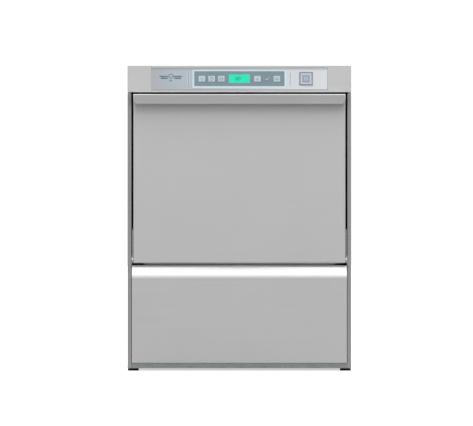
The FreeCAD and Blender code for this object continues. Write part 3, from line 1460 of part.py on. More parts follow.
def make_heating_elements():
    """The U-shaped elements of the tank and of the boiler."""
    tank_out = -(tank_half + 14)
    tank_end = -(tank_half - heater_reach)
    low, high = heater_legs(middle_y)
    tank_element = pipe("tank_element", [
        (tank_out, low, heater_z), (tank_end, low, heater_z), (tank_end, high, heater_z),
        (tank_out, high, heater_z),
    ], heater_span * 0.4, heater_radius)
    left, right = heater_legs(boiler_x)
    boiler_out = boiler_front - 16
    boiler_end = boiler_front + boiler_length - 40
    boiler_element = pipe("boiler_element", [
        (left, boiler_out, boiler_z), (left, boiler_end, boiler_z), (right, boiler_end, boiler_z),
        (right, boiler_out, boiler_z),
    ], heater_span * 0.4, heater_radius)
    return several("heating_elements", tank_element, boiler_element)


def make_inlet_valve():
    """The water inlet valve, with its threaded stub and its solenoid."""
    across = (inlet_x, connection_z)
    front = plate_y - 40
    return cut(
        "inlet_valve",
        fuse(
            "valve_solid",
            block("valve_body", (inlet_x - 16, inlet_x + 16), (front, plate_y),
                  (connection_z - 16, connection_z + 16)),
            rod("valve_shoulder", "Y", across, (plate_y - 1, plate_y + plate), inlet_radius + shoulder),
            rod("valve_stub", "Y", across, (plate_y, stub_end), inlet_radius),
            rod("valve_solenoid", "Z", (inlet_x, front + 18), (connection_z + 15, connection_z + 50), 14),
        ),
        rod("valve_way", "Y", across, (plate_y - 10, stub_end + 1), inlet_radius - 3),
    )


def make_cable_gland():
    """The gland that the supply cable passes through."""
    across = (gland_x, connection_z)
    start = stub_end - gland_length
    return cut(
        "cable_gland",
        fuse(
            "gland_solid",
            rod("gland_barrel", "Y", across, (start, stub_end), gland_body),
            rod("gland_front_nut", "Y", across, (start, plate_y), gland_body + 3),
            rod("gland_rear_nut", "Y", across, (plate_y + plate, plate_y + plate + 5), gland_body + 3),
        ),
        rod("gland_way", "Y", across, (start - 1, stub_end + 1), gland_bore),
    )


# ---------------------------------------------------------------- controls
def panel_hole(name, centre_x, across, up, reach):
    """A rectangular cutter through the control panel, centred on its height."""
    return block(name, (centre_x - across / 2, centre_x + across / 2), reach,
                 (panel_z - up / 2, panel_z + up / 2))


def key_places():
    """Each key's name and the place of its axis."""
    places = {}
    for side, sign in SIDES.items():
        for number in range(3):
            places[f"key_{side}_{number + 1}"] = sign * (key_first + number * key_pitch)
    return places


def make_control_fascia():
    """The control panel's box, open at its rear, with the holes that the controls need."""
    reach = (door_face - 1, door_face + skin + 1)
    inside = block("fascia_inside", (-(half_width - skin), half_width - skin),
                   (door_face + skin, fascia_back + 1),
                   (fascia_bottom + skin, height - skin))
    holes = [
        rod(f"fascia_{name}", "Y", (key_x, panel_z), reach, key_stem + key_gap) for name,
        key_x in key_places().items()
    ]
    holes.append(panel_hole("fascia_display", 0, display_width - 4, display_height - 4, reach))
    holes.append(panel_hole("fascia_start", start_x, start_width + 2 * key_gap, start_width + 2 * key_gap,
                            reach))
    solid = block("fascia_block", (-half_width, half_width), (door_face, fascia_back),
                  (fascia_bottom, height))
    return cut("control_fascia", solid, inside, *holes)


def make_control_overlay():
    """The plate on the control panel, with openings for the key field and the start button."""
    reach = (overlay_front - 1, door_face + 1)
    return cut(
        "control_overlay",
        block("overlay_block", (-overlay_width / 2, overlay_width / 2), (overlay_front, door_face),
              (panel_z - overlay_height / 2, panel_z + overlay_height / 2)),
        panel_hole("overlay_field", 0, field_width, field_height, reach),
        panel_hole("overlay_start", start_x, start_width + 2 * key_gap, start_width + 2 * key_gap, reach),
    )


def make_key_field():
    """The plate that the keys come through."""
    body = start_body("key_field")
    edge = sheet_gap / 2
    outside = rectangle((-(field_width / 2 - edge), field_width / 2 - edge),
                        (-(field_height / 2 - edge), field_height / 2 - edge))
    pad(body, "field_plate", "XZ_Plane", door_face - field_front, loops=[outside])
    holes = [rectangle((-display_width / 2, display_width / 2), (-display_height / 2, display_height / 2))]
    for key_x in key_places().values():
        half = key_width / 2 + key_gap
        rise = key_height / 2 + key_gap
        holes.append(rectangle((key_x - half, key_x + half), (-rise, rise)))
    pocket(body, "field_holes", "XZ_Plane", 3, loops=holes, both_ways=True)
    return place(body, 0, door_face, panel_z)


def make_display_window():
    """The window over the display."""
    edge = sheet_gap / 2
    return panel_hole("display_window", 0, display_width - 2 * edge, display_height - 2 * edge,
                      (field_front - 0.2, door_face))


def make_key(name, key_x):
    """A key's cap and the stem behind it."""
    body = start_body(name)
    half = key_width / 2
    rise = key_height / 2
    pad(body, f"{name}_cap", "XZ_Plane", key_cap, loops=[rectangle((-half, half), (-rise, rise))])
    fillet(body, f"{name}_corners", 2, along("y"))
    pad(body, f"{name}_stem", "XZ_Plane", switch_front - 0.4 - key_travel - key_front - key_cap,
        circles=[(0, 0, key_stem)], backwards=True)
    return place(body, key_x, key_front + key_cap, panel_z)


def make_start_button():
    """The start button: a square cap and its stem."""
    body = start_body("start_button")
    half = start_width / 2
    front = start_front
    pad(body, "start_cap", "XZ_Plane", start_cap, loops=[rectangle((-half, half), (-half, half))])
    fillet(body, "start_corners", 3, along("y"))
    fillet(body, "start_rim", 0.6, lambda edge: edge.BoundBox.YMax < -float(start_cap) + 0.01)
    pad(body, "start_stem", "XZ_Plane", switch_front - 0.1 - start_travel - front - start_cap,
        circles=[(0, 0, key_stem + 2)], backwards=True)
    return place(body, start_x, front + start_cap, panel_z)


def make_start_button_bezel():
    """The frame round the start button."""
    body = start_body("start_button_bezel")
    outer = bezel_width / 2
    inner = start_width / 2 + key_gap
    pad(body, "bezel_frame", "XZ_Plane", bezel_height, loops=[rectangle((-outer, outer), (-outer, outer))])
    fillet(body, "bezel_corners", 3.5, along("y"))
    pocket(body, "bezel_hole", "XZ_Plane", 4 * bezel_height,
           loops=[rectangle((-inner, inner), (-inner, inner))],
           both_ways=True)
    return place(body, start_x, overlay_front, panel_z)


def make_control_board():
    """The circuit board with a switch behind each key and the display module."""
    board_ends = (panel_z - overlay_height / 2, panel_z + overlay_height / 2)
    spacer_rise = overlay_height / 2 - 5
    solids = [
        rod(f"board_spacer_{number}", "Y", (spacer_x, panel_z + spacer_z), (door_face + skin, board_front),
            2.5)
        for number, (spacer_x, spacer_z) in enumerate(
            [(-120, spacer_rise), (-120, -spacer_rise), (start_x + 18, spacer_rise),
             (start_x + 18, -spacer_rise)], 1)
    ]
    solids += [
        block("board_sheet", (-130, start_x + 25), (board_front, board_front + board_thickness), board_ends),
        block("display_module", (-display_width / 2, display_width / 2), (door_face + 2 * skin, board_front),
              (panel_z - display_height / 2, panel_z + display_height / 2)),
    ]
    for name, key_x in [*key_places().items(), ("start", start_x)]:
        solids.append(block(f"switch_{name}", (key_x - 3, key_x + 3), (switch_front, board_front),
                            (panel_z - 3, panel_z + 3)))
    return fuse("control_board", *solids)


def make_electronics_box():
    """The closed box on the chamber's roof that holds the power electronics."""
    low = chamber_top + wall
    high = height - 30
    reach = (chamber_front + box_setback, chamber_front + box_setback + box_length)
    across = (60, half_width - 40)
    shell = cut(
        "box_shell",
        block("box_outside", across, reach, (low, high)),
        block("box_inside", (across[0] + skin, across[1] - skin), (reach[0] + skin, reach[1] - skin),
              (low + skin, high - skin)),
    )
    relays = [
        block(f"relay_{number}", (75 + 45 * number, 110 + 45 * number), (reach[0] + 40, reach[0] + 90),
              (low + skin, high - 10))
        for number in range(3)
    ]
    return several("electronics_box", shell, *relays)


# ---------------------------------------------------------------- the assembly
casing = [make_base_frame(), make_rear_panel(), make_top_cover(), make_lower_front_panel(),
          make_door_posts(),
          make_hinge_blocks(), make_hinge_pins(), make_panel_screws()]
for side, sign in SIDES.items():
    casing.append(make_side_panel(side, sign))
    for end in FOOT_ROWS:
        casing.append(make_foot(end, side, sign))
door = [make_door_outer_skin(), make_door_inner_skin(), make_door_insulation(), make_hinge_arms(),
        make_door_springs()]
wash = [make_wash_chamber(), make_wash_tank(), make_door_gasket(), make_rack_rails(), make_tank_strainers(),
        make_strainer_basket(), make_spray_posts(), make_arm_nuts(), make_riser_duct(),
        make_wash_arm("lower_wash_arm", lower_arm_z, False),
        make_rinse_arm("lower_rinse_arm", lower_rinse_z, False),
        make_wash_arm("upper_wash_arm", upper_arm_z, True),
        make_rinse_arm("upper_rinse_arm", upper_rinse_z, True)]
machinery = [make_wash_pump_casing(), make_wash_pump_motor(), make_wash_pump_rotor(), make_pump_hoses(),
             make_drain_pump(), make_drain_pump_rotor(), make_drain_hose(), make_dosing_pumps(),
             make_boiler(),
             make_heating_elements(), make_inlet_valve(), make_cable_gland()]
for name, doser_x in DOSERS.items():
    machinery.append(make_dosing_rotor(name, doser_x))
controls = [make_control_fascia(), make_control_overlay(), make_key_field(), make_display_window(),
            make_start_button(), make_start_button_bezel(), make_control_board(), make_electronics_box()]
for name, key_x in key_places().items():
    controls.append(make_key(name, key_x))
for item in casing + door + wash + machinery + controls:
    node(item)

doc.recompute()
faults = [item.Name for item in doc.Objects if "Invalid" in item.State or "Error" in item.State]
faults += [item.Label for item in pieces if item.Shape.isNull() or not item.Shape.isValid()]
if faults:
    raise RuntimeError(f"failed to build: {', '.join(faults)}")
os.makedirs("parts", exist_ok=True)
for item in pieces:
    item.Shape.exportStep(f"parts/{item.Label}.step")
print(f"{len(pieces)} sub-parts written")
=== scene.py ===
"""The looks of an undercounter glass washer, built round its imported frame.

Every place comes from the frame's nodes. Lengths are in metres.
"""

import json
import logging
import math
from dataclasses import dataclass, field
from enum import Enum
from typing import Any, Callable, Iterable, Iterator, Sequence

import bmesh
import bpy
from mathutils import Matrix, Vector


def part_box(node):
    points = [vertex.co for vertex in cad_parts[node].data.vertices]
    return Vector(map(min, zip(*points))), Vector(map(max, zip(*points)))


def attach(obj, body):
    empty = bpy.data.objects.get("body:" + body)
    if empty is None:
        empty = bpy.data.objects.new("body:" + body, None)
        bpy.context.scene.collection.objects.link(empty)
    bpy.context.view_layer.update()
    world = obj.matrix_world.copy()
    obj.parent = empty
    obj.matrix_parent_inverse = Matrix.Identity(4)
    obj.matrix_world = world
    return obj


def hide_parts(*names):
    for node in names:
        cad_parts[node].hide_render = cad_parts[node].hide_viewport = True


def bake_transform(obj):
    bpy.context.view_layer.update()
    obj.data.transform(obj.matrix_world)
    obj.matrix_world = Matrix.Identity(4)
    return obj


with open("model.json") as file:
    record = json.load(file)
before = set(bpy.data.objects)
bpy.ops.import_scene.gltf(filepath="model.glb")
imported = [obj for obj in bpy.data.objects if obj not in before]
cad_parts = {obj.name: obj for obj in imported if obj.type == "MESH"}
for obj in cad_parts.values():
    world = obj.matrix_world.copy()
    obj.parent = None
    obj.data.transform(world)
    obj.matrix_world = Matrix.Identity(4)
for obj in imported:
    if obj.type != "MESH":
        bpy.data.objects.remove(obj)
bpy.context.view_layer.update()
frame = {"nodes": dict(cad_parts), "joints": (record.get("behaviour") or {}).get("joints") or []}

MM = 0.001
NEAR = 0.02 * MM
LOG = logging.getLogger("glass_washer")
SIDES = {"left": -1, "right": 1}
X_AXIS = Vector((1, 0, 0))
Y_AXIS = Vector((0, 1, 0))
Z_AXIS = Vector((0, 0, 1))

Colour = tuple[float, float, float, float]
Point = Sequence[float]
EdgeTest = Callable[[bmesh.types.BMEdge], bool]


# ---------------------------------------------------------------- finishes
class Grain(Enum):
    """The way in which a sheet was brushed, as noise scales along X, Y and Z."""

    ACROSS = (7.0, 520.0, 520.0)
    UPWARDS = (520.0, 520.0, 7.0)
    BACKWARDS = (520.0, 7.0, 520.0)


class Wire:
    """A number that varies over a surface. Arithmetic on it adds Math nodes."""

    def __init__(self, recipe: "Recipe", socket: bpy.types.NodeSocket) -> None:
        """Wraps a socket.

        Args:
            recipe: The material that the socket belongs to.
            socket: The output that carries the number.
        """
        self.recipe = recipe
        self.socket = socket

    def maths(self, operation: str, first: Any, second: Any = 0.0) -> "Wire":
        """Adds a Math node.

        Args:
            operation: The node's operation.
            first: A wire or a number.
            second: A wire or a number.

        Returns:
            The node's result.
        """
        node = self.recipe.node("ShaderNodeMath", {"operation": operation}, {0: first, 1: second})
        return Wire(self.recipe, node.outputs[0])

    def __add__(self, other: Any) -> "Wire":
        """The sum with a wire or a number."""
        return self.maths("ADD", self, other)

    def __sub__(self, other: Any) -> "Wire":
        """The difference from a wire or a number."""
        return self.maths("SUBTRACT", self, other)

    def __rsub__(self, other: Any) -> "Wire":
        """A number less this wire."""
        return self.maths("SUBTRACT", other, self)

    def __mul__(self, other: Any) -> "Wire":
        """The product with a wire or a number."""
        return self.maths("MULTIPLY", self, other)

    def __lt__(self, other: Any) -> "Wire":
        """1 where the wire is below a wire or a number, and 0 elsewhere."""
        return self.maths("LESS_THAN", self, other)

    def __gt__(self, other: Any) -> "Wire":
        """1 where the wire is above a wire or a number, and 0 elsewhere."""
        return self.maths("GREATER_THAN", self, other)

    def __abs__(self) -> "Wire":
        """The wire without its sign."""
        return self.maths("ABSOLUTE", self)

    def larger(self, other: Any) -> "Wire":
        """The larger of the wire and another."""
        return self.maths("MAXIMUM", self, other)


class Recipe:
    """A procedural material: a Principled shader and what varies on it."""

    def __init__(self, name: str) -> None:
        """Starts the material.

        Args:
            name: The material's name.
        """
        self.material = bpy.data.materials.new(name)
        self.material.use_nodes = True
        self.tree = self.material.node_tree
        self.tree.nodes.clear()
        output = self.node("ShaderNodeOutputMaterial")
        self.shader = self.node("ShaderNodeBsdfPrincipled")
        self.tree.links.new(self.shader.outputs[0], output.inputs[0])
        self.place = self.node("ShaderNodeTexCoord").outputs["Object"]

    def node(self, kind: str, settings: dict[str, Any] | None = None,
             sockets: dict[Any, Any] | None = None) -> bpy.types.Node:
        """Adds a node.

        Args:
            kind: The node's type.
            settings: Its properties, or the stops of a colour ramp under "stops".
            sockets: Values or links for its inputs, by name or number.

        Returns:
            The node.
        """
        made = self.tree.nodes.new(kind)
        for key, value in (settings or {}).items():
            if key == "stops":
                self._set_stops(made.color_ramp, value)
            else:
                setattr(made, key, value)
        for key, value in (sockets or {}).items():
            self.feed(made.inputs[key], value)
        return made

    @staticmethod
    def _set_stops(ramp: bpy.types.ColorRamp, stops: Sequence[tuple[float, Colour]]) -> None:
        """Sets a ramp's stops.

        Args:
            ramp: The colour ramp.
            stops: Places from 0 to 1, each with its colour.
        """
        while len(ramp.elements) < len(stops):
            ramp.elements.new(1.0)
        for element, (place, colour) in zip(ramp.elements, stops):
            element.position = place
            element.color = colour

    def feed(self, socket: bpy.types.NodeSocket, value: Any) -> None:
        """Links or sets a socket.

        Args:
            socket: The input.
            value: A wire, an output socket or a constant.
        """
        if isinstance(value, Wire):
            self.tree.links.new(value.socket, socket)
        elif isinstance(value, bpy.types.NodeSocket):
            self.tree.links.new(value, socket)
        else:
            socket.default_value = value

    def surface(self, **sockets: Any) -> None:
        """Feeds the shader's sockets, named with underscores for spaces."""
        for name, value in sockets.items():
            self.feed(self.shader.inputs[name.replace("_", " ")], value)

    def coordinate(self, axis: str) -> Wire:
        """A place along X, Y or Z, in metres."""
        parts = self.node("ShaderNodeSeparateXYZ", sockets={0: self.place})
        return Wire(self, parts.outputs[axis])

    def noise(self, scales: Point, detail: float = 2.0, offset: float = 0.0) -> Wire:
        """Adds a noise.

        Args:
            scales: How fine it is along X, Y and Z, per metre.
            detail: Its octaves.
            offset: A shift of the pattern, so that two noises differ.

        Returns:
            The noise, about 0.5.
        """
        mapped = self.node("ShaderNodeMapping", sockets={
            "Vector": self.place, "Scale": tuple(scales), "Location": (offset, offset, offset)})
        made = self.node("ShaderNodeTexNoise", sockets={
            "Vector": mapped.outputs[0], "Scale": 1.0, "Detail": detail})
        return Wire(self, made.outputs[0])

    def cells(self, scale: float) -> Wire:
        """A random value for each cell of a cellular pattern of so many cells per metre."""
        made = self.node("ShaderNodeTexVoronoi", sockets={"Vector": self.place, "Scale": scale})
        return Wire(self, made.outputs["Color"])

    def blend(self, factor: Any, first: Any, second: Any) -> bpy.types.NodeSocket:
        """Mixes two colours.

        Args:
            factor: How much of the second, as a wire or a number.
            first: A colour or a socket.
            second: A colour or a socket.

        Returns:
            The mixed colour's socket.
        """
        made = self.node("ShaderNodeMix", {"data_type": "RGBA"}, {0: factor, 6: first, 7: second})
        return made.outputs[2]

    def ramp(self, factor: Wire, *stops: tuple[float, Colour]) -> bpy.types.NodeSocket:
        """A colour ramp over a wire."""
        return self.node("ShaderNodeValToRGB", {"stops": stops}, {0: factor}).outputs[0]

    def relief(self, height: Wire, depth: float, strength: float = 1.0) -> None:
        """Raises the surface by a height.

        Args:
            height: The relief, from 0 to 1.
            depth: How high 1 stands, in metres.
            strength: How much of it counts.
        """
        made = self.node("ShaderNodeBump", sockets={
            "Height": height, "Distance": depth, "Strength": strength})
        self.feed(self.shader.inputs["Normal"], made.outputs[0])


def shade(colour: Colour, factor: float) -> Colour:
    """The colour, lighter or darker by a factor."""
    return (colour[0] * factor, colour[1] * factor, colour[2] * factor, 1.0)


def grey(value: float) -> Colour:
    """A neutral grey."""
    return (value, value, value, 1.0)


@dataclass(frozen=True)
class Finish:
    """A material and the record's slot that it belongs to."""

    name: str
    slot: str

    def material(self) -> bpy.types.Material:
        """The finish's material, mixed on its first use."""
        known = bpy.data.materials.get(self.name)
        if known is not None:
            return known
        recipe = Recipe(self.name)
        self.mix(recipe)
        return recipe.material

    def mix(self, recipe: Recipe) -> None:
        """Adds the finish's own nodes to a recipe."""
        raise NotImplementedError


@dataclass(frozen=True)
class BrushedSteel(Finish):
    """Stainless sheet brushed in one direction."""

    tone: float = 0.6
    grain: Grain = Grain.ACROSS
    roughness: float = 0.36
    spread: float = 0.7

    def mix(self, recipe: Recipe) -> None:
        """Streaks along the grain, broad clouds of tone and fingerprints of gloss."""
        fine = recipe.noise(self.grain.value, 3.0)
        coarse = recipe.noise([scale * 0.16 for scale in self.grain.value], 2.0, 3.1)
        clouds = recipe.noise((5.0, 5.0, 5.0), 2.0, 7.7)
        streaks = fine * 0.6 + coarse * 0.4
        colour = recipe.blend(streaks * 0.7 + clouds * 0.3, grey(self.tone * 0.94), grey(self.tone * 1.06))
        recipe.surface(
            Base_Color=colour,
            Metallic=1.0,
            Roughness=streaks * 0.12 + clouds * 0.04 + (self.roughness - 0.08),
            Anisotropic=self.spread,
            Anisotropic_Rotation=0.25 if self.grain is Grain.ACROSS else 0.0,
        )
        recipe.relief(streaks, 0.00004, 0.35)


@dataclass(frozen=True)
class PressedSteel(Finish):
    """Satin stainless sheet as it leaves the press, with faint rolling marks."""

    tone: float = 0.55
    roughness: float = 0.26

    def mix(self, recipe: Recipe) -> None:
        """Rolling marks, a haze of water stains and small dents."""
        rolled = recipe.noise((40.0, 9.0, 40.0), 4.0)
        haze = recipe.noise((11.0, 11.0, 11.0), 5.0, 2.0)
        speckle = recipe.noise((900.0, 900.0, 900.0), 2.0, 5.0)
        recipe.surface(
            Base_Color=recipe.blend(rolled * 0.6 + haze * 0.4, grey(self.tone * 0.9), grey(self.tone * 1.1)),
            Metallic=1.0,
            Roughness=haze * 0.2 + speckle * 0.08 + (self.roughness - 0.12),
        )
        recipe.relief(speckle * 0.5 + haze * 0.5, 0.00005, 0.3)


@dataclass(frozen=True)
class ZincPlate(Finish):
    """Galvanised or zinc-plated steel with crystals in its surface."""

    tint: Colour = (0.40, 0.42, 0.43, 1.0)
    roughness: float = 0.4
    crystals: float = 160.0

    def mix(self, recipe: Recipe) -> None:
        """Crystals of slightly different tone and gloss, under a dull haze."""
        crystals = recipe.cells(self.crystals)
        haze = recipe.noise((22.0, 22.0, 22.0), 4.0)
        recipe.surface(
            Base_Color=recipe.blend(crystals * 0.6 + haze * 0.4, shade(self.tint, 0.82),
                                    shade(self.tint, 1.12)),
            Metallic=0.9,
            Roughness=crystals * 0.15 + haze * 0.12 + (self.roughness - 0.13),
        )
        recipe.relief(haze, 0.0001, 0.3)


@dataclass(frozen=True)
class PolishedMetal(Finish):
    """Bright metal with fine turning or polishing marks."""

    tint: Colour = (0.62, 0.62, 0.63, 1.0)
    roughness: float = 0.16
    heat: float = 0.0

    def mix(self, recipe: Recipe) -> None:
        """Fine marks, and straw and blue heat colours where the metal has run hot."""
        marks = recipe.noise((260.0, 260.0, 900.0), 3.0)
        patches = recipe.noise((30.0, 30.0, 30.0), 3.0, 4.0)
        plain = recipe.blend(marks, shade(self.tint, 0.9), shade(self.tint, 1.06))
        heated = recipe.ramp(patches, (0.3, (0.30, 0.24, 0.16, 1.0)), (0.5, (0.22, 0.20, 0.22, 1.0)),
                             (0.7, (0.16, 0.18, 0.26, 1.0)))
        recipe.surface(
            Base_Color=recipe.blend(self.heat, plain, heated),
            Metallic=1.0,
            Roughness=marks * 0.12 + patches * 0.08 + (self.roughness - 0.08),
        )
        recipe.relief(marks, 0.00003, 0.3)


@dataclass(frozen=True)
class MouldedPlastic(Finish):
    """Injection-moulded plastic with a fine spark-eroded texture."""

    tint: Colour = (0.1, 0.1, 0.11, 1.0)
    roughness: float = 0.42
    texture: float = 1.0
    glow: float = 0.0

    def mix(self, recipe: Recipe) -> None:
        """A fine grain, slow flow marks, and a slight variation of colour and gloss."""
        grain = recipe.noise((1500.0, 1500.0, 1500.0), 2.0)
        flow = recipe.noise((24.0, 24.0, 24.0), 3.0, 1.0)
        recipe.surface(
            Base_Color=recipe.blend(flow, shade(self.tint, 0.9), shade(self.tint, 1.1)),
            Roughness=grain * 0.14 + flow * 0.1 + (self.roughness - 0.12),
            Specular_IOR_Level=0.45,
        )
        if self.glow:
            recipe.surface(Emission_Color=self.tint, Emission_Strength=self.glow)
        recipe.relief(grain, 0.00004 * self.texture, 0.35)


@dataclass(frozen=True)
class Rubber(Finish):
    """Soft black or grey rubber with dust in its pores."""

    tint: Colour = (0.022, 0.022, 0.024, 1.0)

    def mix(self, recipe: Recipe) -> None:
        """A matt ground with pores and pale dust."""
        pores = recipe.noise((700.0, 700.0, 700.0), 4.0)
        dust = recipe.noise((60.0, 60.0, 60.0), 5.0, 9.0)
        recipe.surface(
            Base_Color=recipe.blend(dust, self.tint, shade(self.tint, 2.2)),
            Roughness=pores * 0.2 + 0.6,
            Specular_IOR_Level=0.3,
        )
        recipe.relief(pores, 0.00008, 0.5)


@dataclass(frozen=True)
class PrintedFilm(Finish):
    """The front film of the control panel, lightening from lilac grey to white in a printed tint with a
    painted reflection in it, with its printed frames.
    """

    low: tuple[float, float, float] = (0.0, 0.0, 0.0)
    high: tuple[float, float, float] = (1.0, 1.0, 1.0)
    field_low: tuple[float, float, float] = (0.0, 0.0, 0.0)
    field_high: tuple[float, float, float] = (1.0, 1.0, 1.0)
    margin: float = 5 * MM
    rule_gap: float = 10.5 * MM
    rule_half: float = 0.7 * MM
    # Width of the dark edge line: partly print, partly painted shade of the film's edges.
    edge_line_and_shade: float = 1.4 * MM
    shadow_depth: float = 8.5 * MM

    def mix(self, recipe: Recipe) -> None:
        """The slow change of colour, a printed tint with a painted reflection in it; the pale frame; the two
        rules; the dark edge line, partly printed and partly painted shade of the film's edges; and the
        painted shadow under its top edge.
        """
        along = recipe.coordinate("X")
        up = recipe.coordinate("Z")
        middle = (self.low[2] + self.high[2]) / 2
        half = (self.high[2] - self.low[2]) / 2
        # The ground lightens from left to right: a printed lilac tint with a painted reflection in it.
        share = (along - self.low[0]) * (1 / (self.high[0] - self.low[0]))
        ground = recipe.ramp(
            share, (0.0, (0.52, 0.52, 0.56, 1.0)), (0.12, (0.52, 0.59, 0.64, 1.0)),
            (0.42, (0.60, 0.66, 0.70, 1.0)), (0.74, (0.76, 0.80, 0.84, 1.0)), (1.0, (0.82, 0.84, 0.86, 1.0)))
        field_half = self.field_high[0]
        field_tall = (self.field_high[2] - self.field_low[2]) / 2
        out_of_field = (abs(along) - field_half).larger(abs(up - middle) - field_tall)
        framed = recipe.blend(out_of_field < self.margin, ground, (0.76, 0.88, 0.92, 1.0))
        rule_at = field_half + self.margin + self.rule_gap
        off_rule = abs(abs(along) - rule_at)
        tall_enough = abs(up - middle) < field_tall * 0.82
        dark_rule = (off_rule < self.rule_half) * tall_enough
        ruled = recipe.blend(dark_rule, framed, (0.36, 0.37, 0.43, 1.0))
        pale_rule = (abs(off_rule - 4 * self.rule_half) < self.rule_half) * tall_enough
        paled = recipe.blend(pale_rule * 0.7, ruled, (0.80, 0.86, 0.92, 1.0))
        # Dark line along the top, bottom and right edges: partly printed, partly painted shade of the film's
        # edges.
        edge = (abs(up - middle) > half - self.edge_line_and_shade) + ((self.high[0] - along) < self.edge_line_and_shade)
        shadow = recipe.ramp((self.high[2] - up) * (1 / self.shadow_depth), (0.0, grey(0.75)),
                             (0.45, grey(0.5)),
                             (1.0, grey(0.0)))
        shaded = recipe.blend(shadow, paled, (0.36, 0.38, 0.41, 1.0))
        speck = recipe.noise((1800.0, 1800.0, 1800.0), 2.0)
        recipe.surface(
            Base_Color=recipe.blend(edge * 0.75, shaded, (0.33, 0.34, 0.36, 1.0)),
            Roughness=speck * 0.1 + 0.34,
            Specular_IOR_Level=0.4,
        )
        recipe.relief(speck, 0.00002, 0.3)


@dataclass(frozen=True)
class LitLens(Finish):
    """The display's window, lit from behind a little unevenly."""

    tint: Colour = (0.02, 0.50, 0.31, 1.0)
    glow: float = 0.75

    def mix(self, recipe: Recipe) -> None:
        """A glow that fades in soft patches, behind a smooth lens."""
        patches = recipe.noise((45.0, 45.0, 60.0), 2.0)
        colour = recipe.blend(patches, shade(self.tint, 0.86), shade(self.tint, 1.14))
        recipe.surface(Base_Color=colour, Emission_Color=colour, Emission_Strength=self.glow, Roughness=0.18)


@dataclass(frozen=True)
class FibreBoard(Finish):
    """Mineral-fibre insulating board."""

    tint: Colour = (0.55, 0.50, 0.36, 1.0)

    def mix(self, recipe: Recipe) -> None:
        """Matted fibres that lie along the board."""
        fibres = recipe.noise((90.0, 700.0, 240.0), 6.0)
        lumps = recipe.noise((40.0, 40.0, 40.0), 3.0, 6.0)
        recipe.surface(
            Base_Color=recipe.blend(fibres, shade(self.tint, 0.7), shade(self.tint, 1.2)),
            Roughness=lumps * 0.1 + 0.85,
            Specular_IOR_Level=0.2,
        )
        recipe.relief(fibres * 0.6 + lumps * 0.4, 0.0008, 0.6)


@dataclass(frozen=True)
class PrintedBoard(Finish):
    """A circuit board with its tracks under green lacquer."""

    def mix(self, recipe: Recipe) -> None:
        """Tracks as bands of a square pattern, slightly raised and paler than the ground."""
        bricks = recipe.node("ShaderNodeTexBrick", {"offset": 0.35, "squash": 1.0}, {
            "Vector": recipe.node("ShaderNodeMapping", sockets={
                "Vector": recipe.place, "Rotation": (math.pi / 2, 0.0, 0.0)}).outputs[0],
            "Scale": 90.0, "Mortar Size": 0.06})
        tracks = Wire(recipe, bricks.outputs["Fac"])
        recipe.surface(
            Base_Color=recipe.blend(tracks, (0.01, 0.09, 0.035, 1.0), (0.06, 0.24, 0.10, 1.0)),
            Roughness=tracks * 0.15 + 0.3,
            Specular_IOR_Level=0.5,
        )
        recipe.relief(tracks, 0.00004, 0.5)


FRONT_STEEL = BrushedSteel("brushed_front_steel", "casing_steel", tone=0.68, roughness=0.44, spread=0.85)
PANEL_STEEL = BrushedSteel("brushed_panel_steel", "casing_steel", tone=0.74)
LIP_STEEL = BrushedSteel("brushed_lip_steel", "casing_steel", tone=0.66, roughness=0.30)
FASCIA_STEEL = BrushedSteel("brushed_fascia_steel", "casing_steel", tone=0.82)
SIDE_STEEL = BrushedSteel("brushed_side_steel", "casing_steel", tone=0.57, grain=Grain.UPWARDS)
TOP_STEEL = BrushedSteel("brushed_top_steel", "casing_steel", tone=0.60, spread=0.0)
REAR_STEEL = BrushedSteel("brushed_rear_steel", "casing_steel", tone=0.58, grain=Grain.UPWARDS,
                          roughness=0.34)
PAN_STEEL = BrushedSteel("brushed_pan_steel", "casing_steel", tone=0.6, roughness=0.24)
CHAMBER_STEEL = PressedSteel("pressed_chamber_steel", "chamber_steel")
TANK_STEEL = PressedSteel("pressed_tank_steel", "chamber_steel", tone=0.5, roughness=0.32)
RACK_STEEL = PolishedMetal("polished_rack_steel", "chamber_steel", roughness=0.2)
FRAME_ZINC = ZincPlate("galvanised_frame", "frame_steel")
HINGE_ZINC = ZincPlate("plated_hinge", "hinge_steel", tint=(0.60, 0.60, 0.62, 1.0), roughness=0.3,
                       crystals=600.0)
SPRING_STEEL = PolishedMetal("spring_steel", "hinge_steel", tint=(0.42, 0.42, 0.44, 1.0), roughness=0.22)
ARM_STEEL = PolishedMetal("polished_arm_steel", "arm_steel")
SCREW_CHROME = PolishedMetal("bright_screws", "screw_steel", tint=(0.66, 0.66, 0.68, 1.0), roughness=0.14)
HEATER_STEEL = PolishedMetal("heated_tube", "heater_steel", roughness=0.3, heat=0.7)
KEY_WHITE = MouldedPlastic("white_key_caps", "key_caps", tint=(0.68, 0.75, 0.80, 1.0), texture=0.4)
KEY_BLUE = MouldedPlastic("blue_key_caps", "key_caps", tint=(0.235, 0.33, 0.375, 1.0), texture=0.4)
FIELD_BLUE = MouldedPlastic("blue_field_film", "field_film", tint=(0.245, 0.345, 0.39, 1.0), texture=0.3)
INK_DARK = MouldedPlastic("dark_ink", "overlay_film", tint=(0.07, 0.09, 0.12, 1.0), texture=0.2)
INK_GREY = MouldedPlastic("grey_ink", "key_caps", tint=(0.20, 0.27, 0.31, 1.0), texture=0.2)
INK_PALE = MouldedPlastic("pale_ink", "key_caps", tint=(0.78, 0.84, 0.87, 1.0), texture=0.2)
INK_TEAL = MouldedPlastic("teal_ink", "overlay_film", tint=(0.08, 0.36, 0.43, 1.0), texture=0.2)
DIGIT_GREEN = MouldedPlastic("display_digits", "display_lens", tint=(0.005, 0.20, 0.13, 1.0), texture=0.1)
DISPLAY_GREEN = LitLens("lit_display", "display_lens")
BEZEL_BLUE = MouldedPlastic("slate_bezel", "bezel_plastic", tint=(0.24, 0.29, 0.37, 1.0), texture=0.6)
